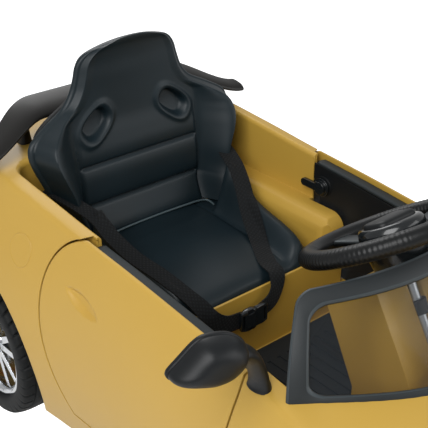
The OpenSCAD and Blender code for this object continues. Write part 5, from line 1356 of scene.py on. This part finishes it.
def build_wing():
    """Ribs from the right tip to the left tip, and a foot near each third."""
    s = np.sin(np.linspace(-np.pi / 2, np.pi / 2, 91))
    a = np.abs(s)
    tip = np.sqrt(np.clip(1 - ((a - 0.975) / 0.025).clip(0) ** 2, 0.08, 1))
    chord = wing_chord * (1 - 0.4 * smooth((a - 0.6) / 0.4)) * tip
    back, rise = -0.16 * smooth((a - 0.45) / 0.55), -0.17 * smooth((a - 0.5) / 0.5)
    k = turns(48)
    p = np.cos(k)[None] * chord[:, None] / 2
    q = np.sin(k) * wing_t / 2 * (1 - 0.35 * np.cos(k)) * np.minimum(1, chord / 40)[:, None]
    x = (s * wing_half)[:, None] + 0 * p
    y = wing_y + (back * wing_half)[:, None] + p * math.cos(wing_tilt) - q * math.sin(wing_tilt)
    z = wing_z + (rise * wing_half)[:, None] + p * math.sin(wing_tilt) + q * math.cos(wing_tilt)
    blade = loft("rear_wing_blade", np.stack([x, y, z], -1), 50)
    dress(blade, wing_lacquer, "car", "rear_wing")
    v = np.linspace(0, 1, 16)
    front = np.interp(v, [0, 1], [wing_y - wing_chord * 0.10, wing_y + wing_chord * 0.04])
    rear = np.interp(v, [0, 1], [wing_y + wing_chord * 0.34, wing_y + wing_chord * 0.28])
    low, high = deck_z(wing_foot_x, wing_y) - 6, wing_z - 2
    for side in (-1, 1):
        rings = []
        for share, y0, y1 in zip(v, front, rear):
            box = rounded_box(16 + 10 * (1 - share) ** 6, y1 - y0, 7.0, 6)
            box = box + [side * wing_foot_x, (y0 + y1) / 2]
            rings.append(station(box, 2, low + (high - low) * share))
        dress(loft(sided("rear_wing_foot", side), np.stack(rings), 50), wing_lacquer, "car")
    return blade


wing = build_wing()
print("wing:", len(wing.data.polygons), "faces")

# %% [markdown]
# The steering wheel is drawn flat, with its axis upright, and then leaned back as the column is.
# The rim is a torus whose tube radius changes: small ribs mark the grips. The spokes are painted
# a dark silver, and the boss carries a padded horn button.

# %% Steering wheel
wheel_rim_r, rim_tube_r, hub_r, hub_drop = 106.0, 13.5, 40.0, 14.0
horn_w, horn_h, horn_round, rib_count = 66, 42, 12, 120
column_lean = math.radians(-30)
wheel_place = Vector((0, -207, 746)) * MM
column_frame = Matrix.Translation(wheel_place) @ Matrix.Rotation(column_lean, 4, "X")
silver_paint = metal("satin_silver_paint", "#4E5355", 0.36, 0.05)
grip_rubber = plastic("black_grip_rubber", "#07090A", "#0D0F10", 0.38, 0.0012, 0.2)


def lean(piece, material, *nodes, body="steering"):
    """Moves a piece from the wheel's own frame to its place, and dresses it."""
    piece.data.transform(column_frame)
    return dress(piece, material, body, *nodes)


def build_rim():
    """Tube radius at each angle: a plain tube, with ribs three degrees apart over both grips."""
    a, b = turns(960), turns(32)
    off = np.minimum(np.abs((a + np.pi) % (2 * np.pi) - np.pi), np.abs((a % (2 * np.pi)) - np.pi))
    grip = 1 - smooth((np.degrees(off) - 52) / 3)
    rib = 0.5 + 0.5 * np.cos(a * rib_count)
    r = rim_tube_r * (0.985 + 0.030 * grip * rib)[:, None]
    reach = wheel_rim_r + r * np.cos(b)
    x, y, z = reach * np.cos(a)[:, None], reach * np.sin(a)[:, None], r * 0.86 * np.sin(b)
    return ring_skin("steering_rim", np.stack([x, y, z], -1), 60)


def build_spoke(turn):
    """Round-cornered sections from the boss to the rim: the spoke spreads at both ends."""
    share = np.linspace(0, 1, 20)
    reach = hub_r * 0.7 + share * (wheel_rim_r - hub_r * 0.7 - 3)
    wide = 26 + 10 * (1 - share) ** 3 + 10 * share ** 4
    level = -hub_drop + 5 + share ** 1.5 * (hub_drop - 6)
    rings = [station(rounded_box(w, 8.5, 3.4, 6) + [0, z], 0, r) for r, w, z in zip(reach, wide, level)]
    points = np.stack(rings)
    x, y = turned_by(points[..., 0], points[..., 1], turn)
    return loft("steering_spoke", np.stack([x, y, points[..., 2]], -1), 50)


def lathe(name, profile, steps=96, angle=35):
    """A profile of radius and height turned round the upright axis; the ends close on the axis."""
    return loft(name, np.stack([station(circle(r, steps), 2, z) for r, z in profile]), angle)


lean(build_rim(), grip_rubber, "steering_wheel")
for turn in (0, np.pi, np.pi / 2):
    lean(build_spoke(turn), silver_paint)
hub = lathe("steering_boss", [
    (9, -46), (33, -46), (35, -45), (36.5, -42), (38, -32), (40, -24), (41.5, -18),
    (42.5, -8), (42.5, 2), (41.5, 7.6), (39, 10.6), (36, 12.0), (9, 12.0),
])
carve(hub, prism(rounded_box(horn_w, horn_h, horn_round), -3, 30, 2))
crisp(hub, 35)
lean(hub, gloss_abs)
pad_rings = []
for inset, level in ((1.2, 0.3), (0.6, 1.0), (0.6, 13.0), (1.2, 15.0),
                     (2.6, 16.5), (5.0, 17.6), (9.0, 18.3), (15.0, 18.7)):
    corner = max(horn_round - inset, 3)
    box = rounded_box(horn_w - 2 * inset, horn_h - 2 * inset, corner, 8)
    pad_rings.append(station(box, 2, level))
pad = loft("horn_pad_cover", np.stack(pad_rings), 50)
lean(pad, mirror_abs, "horn_pad", body=body_of_node["horn_pad"])
print("steering wheel rides on", body_of_node["steering_wheel"])

# %% [markdown]
# The tyres are blow-moulded, with the tread in the mould: three channels run round the crown, and
# short slanting sipes cross both shoulders. Both are one rule for the radius, over the angle and
# the place across the tread.

# %% Tyres
tyre_r, tyre_w, rim_r, wheel_x = 125.0, 76.0, 90.0, 196.0 + 76.0 * 0.58
sipes, tread_deep, channel_half = 40, 3.0, 1.4


def build_tyre(side, y, node):
    """Rings round the axle: each is the tyre's section, lowered where a channel or a sipe passes."""
    edge = tyre_w / 2
    wall_x = edge * np.array([0.80, 0.90, 0.97, 1.0, 1.0, 0.985, 0.95, 0.88])
    across = np.concatenate([-wall_x, np.linspace(-edge * 0.80, edge * 0.80, 55), wall_x[::-1]])
    crown = tyre_r - tread_deep * (np.abs(np.linspace(-0.80, 0.80, 55)) / 0.8) ** 3
    wall_r = [rim_r + up for up in (0.5, 2.5, 5, 9)] + [tyre_r - down for down in (16, 10, 6.5, 4)]
    reach = np.concatenate([wall_r, crown, wall_r[::-1]])
    bore_x, bore_low, bore_high = edge * 0.6, rim_r + 0.5, tyre_r - 14
    inner = np.array([[bore_x, bore_low], [bore_x, bore_high], [-bore_x, bore_high], [-bore_x, bore_low]])
    a = turns(560)[:, None]
    channels = [smooth((np.abs(across - c * edge) - channel_half) / 1.0) for c in (-0.5, 0.0, 0.5)]
    channel = 1 - np.min(channels, axis=0)
    shift = np.abs(across) / edge * 0.10
    wave = np.abs(((a - shift) * sipes / (2 * np.pi)) % 1 - 0.5) * tyre_r * 2 * np.pi / sipes
    zone = smooth((np.abs(across) / edge - 0.52) / 0.04) * (reach > tyre_r - 17)
    sipe = (1 - smooth((wave - 0.9) / 1.1)) * zone
    r = reach - tread_deep * np.maximum(channel * (np.abs(across) < edge * 0.82), sipe)
    r = np.concatenate([r, np.broadcast_to(inner[:, 1], (len(a), 4))], 1)
    x = np.broadcast_to(np.concatenate([across, inner[:, 0]]) * side, r.shape)
    points = np.stack([side * wheel_x + x, y + r * np.cos(a), axle_z + r * np.sin(a)], -1)
    tyre = ring_skin(node + "_tread", points, 50)
    return dress(tyre, tyre_rubber, body_of_node[node], node)


for side, tag in sides:
    for y, end in ((front_axle_y, "front"), (rear_axle_y, "rear")):
        tyre = build_tyre(side, y, "tyre_" + end + "_" + tag)
        keep("rim_" + end + "_" + tag, rim_plate, bevel=0.5)
print("a tyre:", len(tyre.data.polygons), "faces")

# %% [markdown]
# The calipers behind the rims are painted. The rear ones are pieces of their own, but each front
# one is a part of its knuckle, so the faces that lie on the caliper's ring get the paint.

# %% Calipers and knuckles
keep("rear_calipers", caliper_paint)
for side, tag in sides:
    arm = keep("knuckle_" + tag, brushed_steel)
    arm.data.materials.append(caliper_paint)
    for face in arm.data.polygons:
        x, y, z = face.center / MM
        from_axle = math.hypot(y - front_axle_y, z - axle_z)
        if from_axle > rim_r * 0.55 and abs(x) > wheel_x - 26:
            face.material_index = 1
keep("rear_axle", brushed_steel)
keep("tie_rod", frame_paint)
print("painted faces on a knuckle:", sum(f.material_index for f in arm.data.polygons))

# %% [markdown]
# A door's lining is a flat grained panel with slanting grooves. A soft grey strip caps its top
# edge, where a child's arm rests, and the latch is a turned knob with a finger tab.

# %% Door linings
for side, tag in sides:
    node = "door_lining_" + tag
    keep(node, black_abs)
    y = np.linspace(-door_front + 5, door_rear - 5, 60)
    z = sill_z + body_h * shares_at(y)[2][..., 0] - 9 + 1.2
    path = np.stack([np.full(60, side * (lining_x - lining_proud + lining_t / 2 - 0.5)), y, z], -1)
    taper = np.sqrt(np.clip(1 - (np.abs(np.linspace(-1, 1, 60)) - 0.97).clip(0) ** 2 / 0.03**2, 0.1, 1))
    both_ways = np.stack([taper, taper], -1)
    strip = tube("door_top_strip_" + tag, path, (0, 0, 1), rounded_box(18, 6, 2.8, 6), both_ways, 50)
    dress(strip, liner_grey, body_of_node[node])
    keep("latch_" + tag, gloss_abs, angle=35, bevel=0.8)
keep("door_pins", brushed_steel)
print("door strips at", [round(v) for v in path[0]])

# %% [markdown]
# The lamps are clear lenses that follow the nose. A bright bowl behind each gives it some depth.
# The grille, the tail lamp and the diffuser are mouldings that sit in their openings.

# %% Lamps and inserts
def build_bowl(side):
    """Ovals that shrink as they go back: a shallow bowl with a thick floor."""
    rings = [station(lamp_outline(side, 6 + 22 * smooth(k) * 0.55), 1, nose_y + 84 + 26 * k)
             for k in np.linspace(0, 1, 14)]
    bowl = loft(sided("lamp_bowl", side), np.stack(rings), 40)
    return dress(bowl, rim_plate, "car")


bowls = both(build_bowl)
keep("head_lamps", lamp_lens, angle=40)
keep("tail_lamps", tail_lens, angle=40)
keep("nose_grille", black_abs, angle=35)
keep("rear_diffuser", black_abs, angle=35)
print("lamp bowls:", [len(b.data.polygons) for b in bowls], "faces")

# %% [markdown]
# Inside the car are the console, in the body's colour, the column and a ribbed rubber mat. Under
# it are the frame and the pump base: chrome where a salon wipes it, powder coat where it doesn't.

# %% Interior, frame and base
keep("steering_console", body_lacquer, angle=40)
for node, finish_of in {
    "floor_mat": mat_rubber, "steering_column": brushed_steel, "column_bushes": black_abs,
    "base_plate": plated_chrome, "base_pad": lever_rubber, "pump_shroud": plated_chrome,
    "pump_cylinder": frame_paint, "pump_gland": plated_chrome, "base_screws": brushed_steel,
    "lever_pin": brushed_steel, "pump_lever": plated_chrome, "lever_tread": lever_rubber,
    "pump_ram": plated_chrome, "thrust_washer": turned_brass, "swivel_hub": frame_paint,
    "mount_plate": frame_paint, "plate_bolts": brushed_steel, "sub_frame": frame_paint,
}.items():
    keep(node, finish_of)
left_over = [name for name, node in frame["nodes"].items() if not node.hide_render]
print("nodes still in their plain shape:", left_over)

# %% [markdown]
# The picture is a product shot on white paper: a big soft lamp over the camera's left shoulder,
# a weaker one on the right, a third behind for the edges, and white all round. The paper is
# lit like the car, and also glows in the eye of the camera, so that it reads as white but
# still takes a shadow.

# %% Light and floor
far, paper_glow = 6000, 0.72
floor = make("paper_floor", [[-far, -far, 0], [far, -far, 0], [far, far, 0], [-far, far, 0]], [[0, 1, 2, 3]])
paper, tree, shader = finish("white_paper_sweep", {
    "Base Color": linear("#F2F2F2"), "Roughness": 0.9, "Emission Color": (1, 1, 1, 1)})
rays = add(tree, "ShaderNodeLightPath")
seen = add(tree, "ShaderNodeMath", {"operation": "MAXIMUM"})
tree.links.new(rays.outputs["Is Camera Ray"], seen.inputs[0])
tree.links.new(rays.outputs["Is Transmission Ray"], seen.inputs[1])
glow = add(tree, "ShaderNodeMath", {"operation": "MULTIPLY"})
tree.links.new(seen.outputs["Value"], glow.inputs[0])
glow.inputs[1].default_value = paper_glow
join(tree, glow.outputs["Value"], shader, "Emission Strength")
floor.data.materials.append(paper)

sky_light, sky_seen = 0.44, 1.0
world = bpy.data.worlds.new("white_studio")
bpy.context.scene.world = world
world.use_nodes = True
sky = world.node_tree.nodes["Background"]
sky.inputs["Color"].default_value = (1, 1, 1, 1)
rays = add(world.node_tree, "ShaderNodeLightPath")
level = add(world.node_tree, "ShaderNodeMapRange", (), {
    "Value": rays.outputs["Is Camera Ray"], "To Min": sky_light, "To Max": sky_seen})
world.node_tree.links.new(level.outputs["Result"], sky.inputs["Strength"])


def soft_lamp(name, place, aim, size, power):
    """A square area lamp that looks at a point; sizes in metres and watts."""
    data = bpy.data.lights.new(name, "AREA")
    data.size, data.energy = size, power
    lamp = bpy.data.objects.new(name, data)
    lamp.location = place
    lamp.rotation_euler = (Vector(aim) - Vector(place)).to_track_quat("-Z", "Y").to_euler()
    bpy.context.scene.collection.objects.link(lamp)
    return lamp


soft_lamp("key_lamp", (-2.0, -0.9, 2.6), (0, 0.1, 0.6), 2.0, 70)
soft_lamp("fill_lamp", (1.6, -2.2, 1.8), (0, 0, 0.5), 2.2, 30)
soft_lamp("back_lamp", (0.9, 2.4, 2.4), (0, 0, 0.6), 1.6, 24)
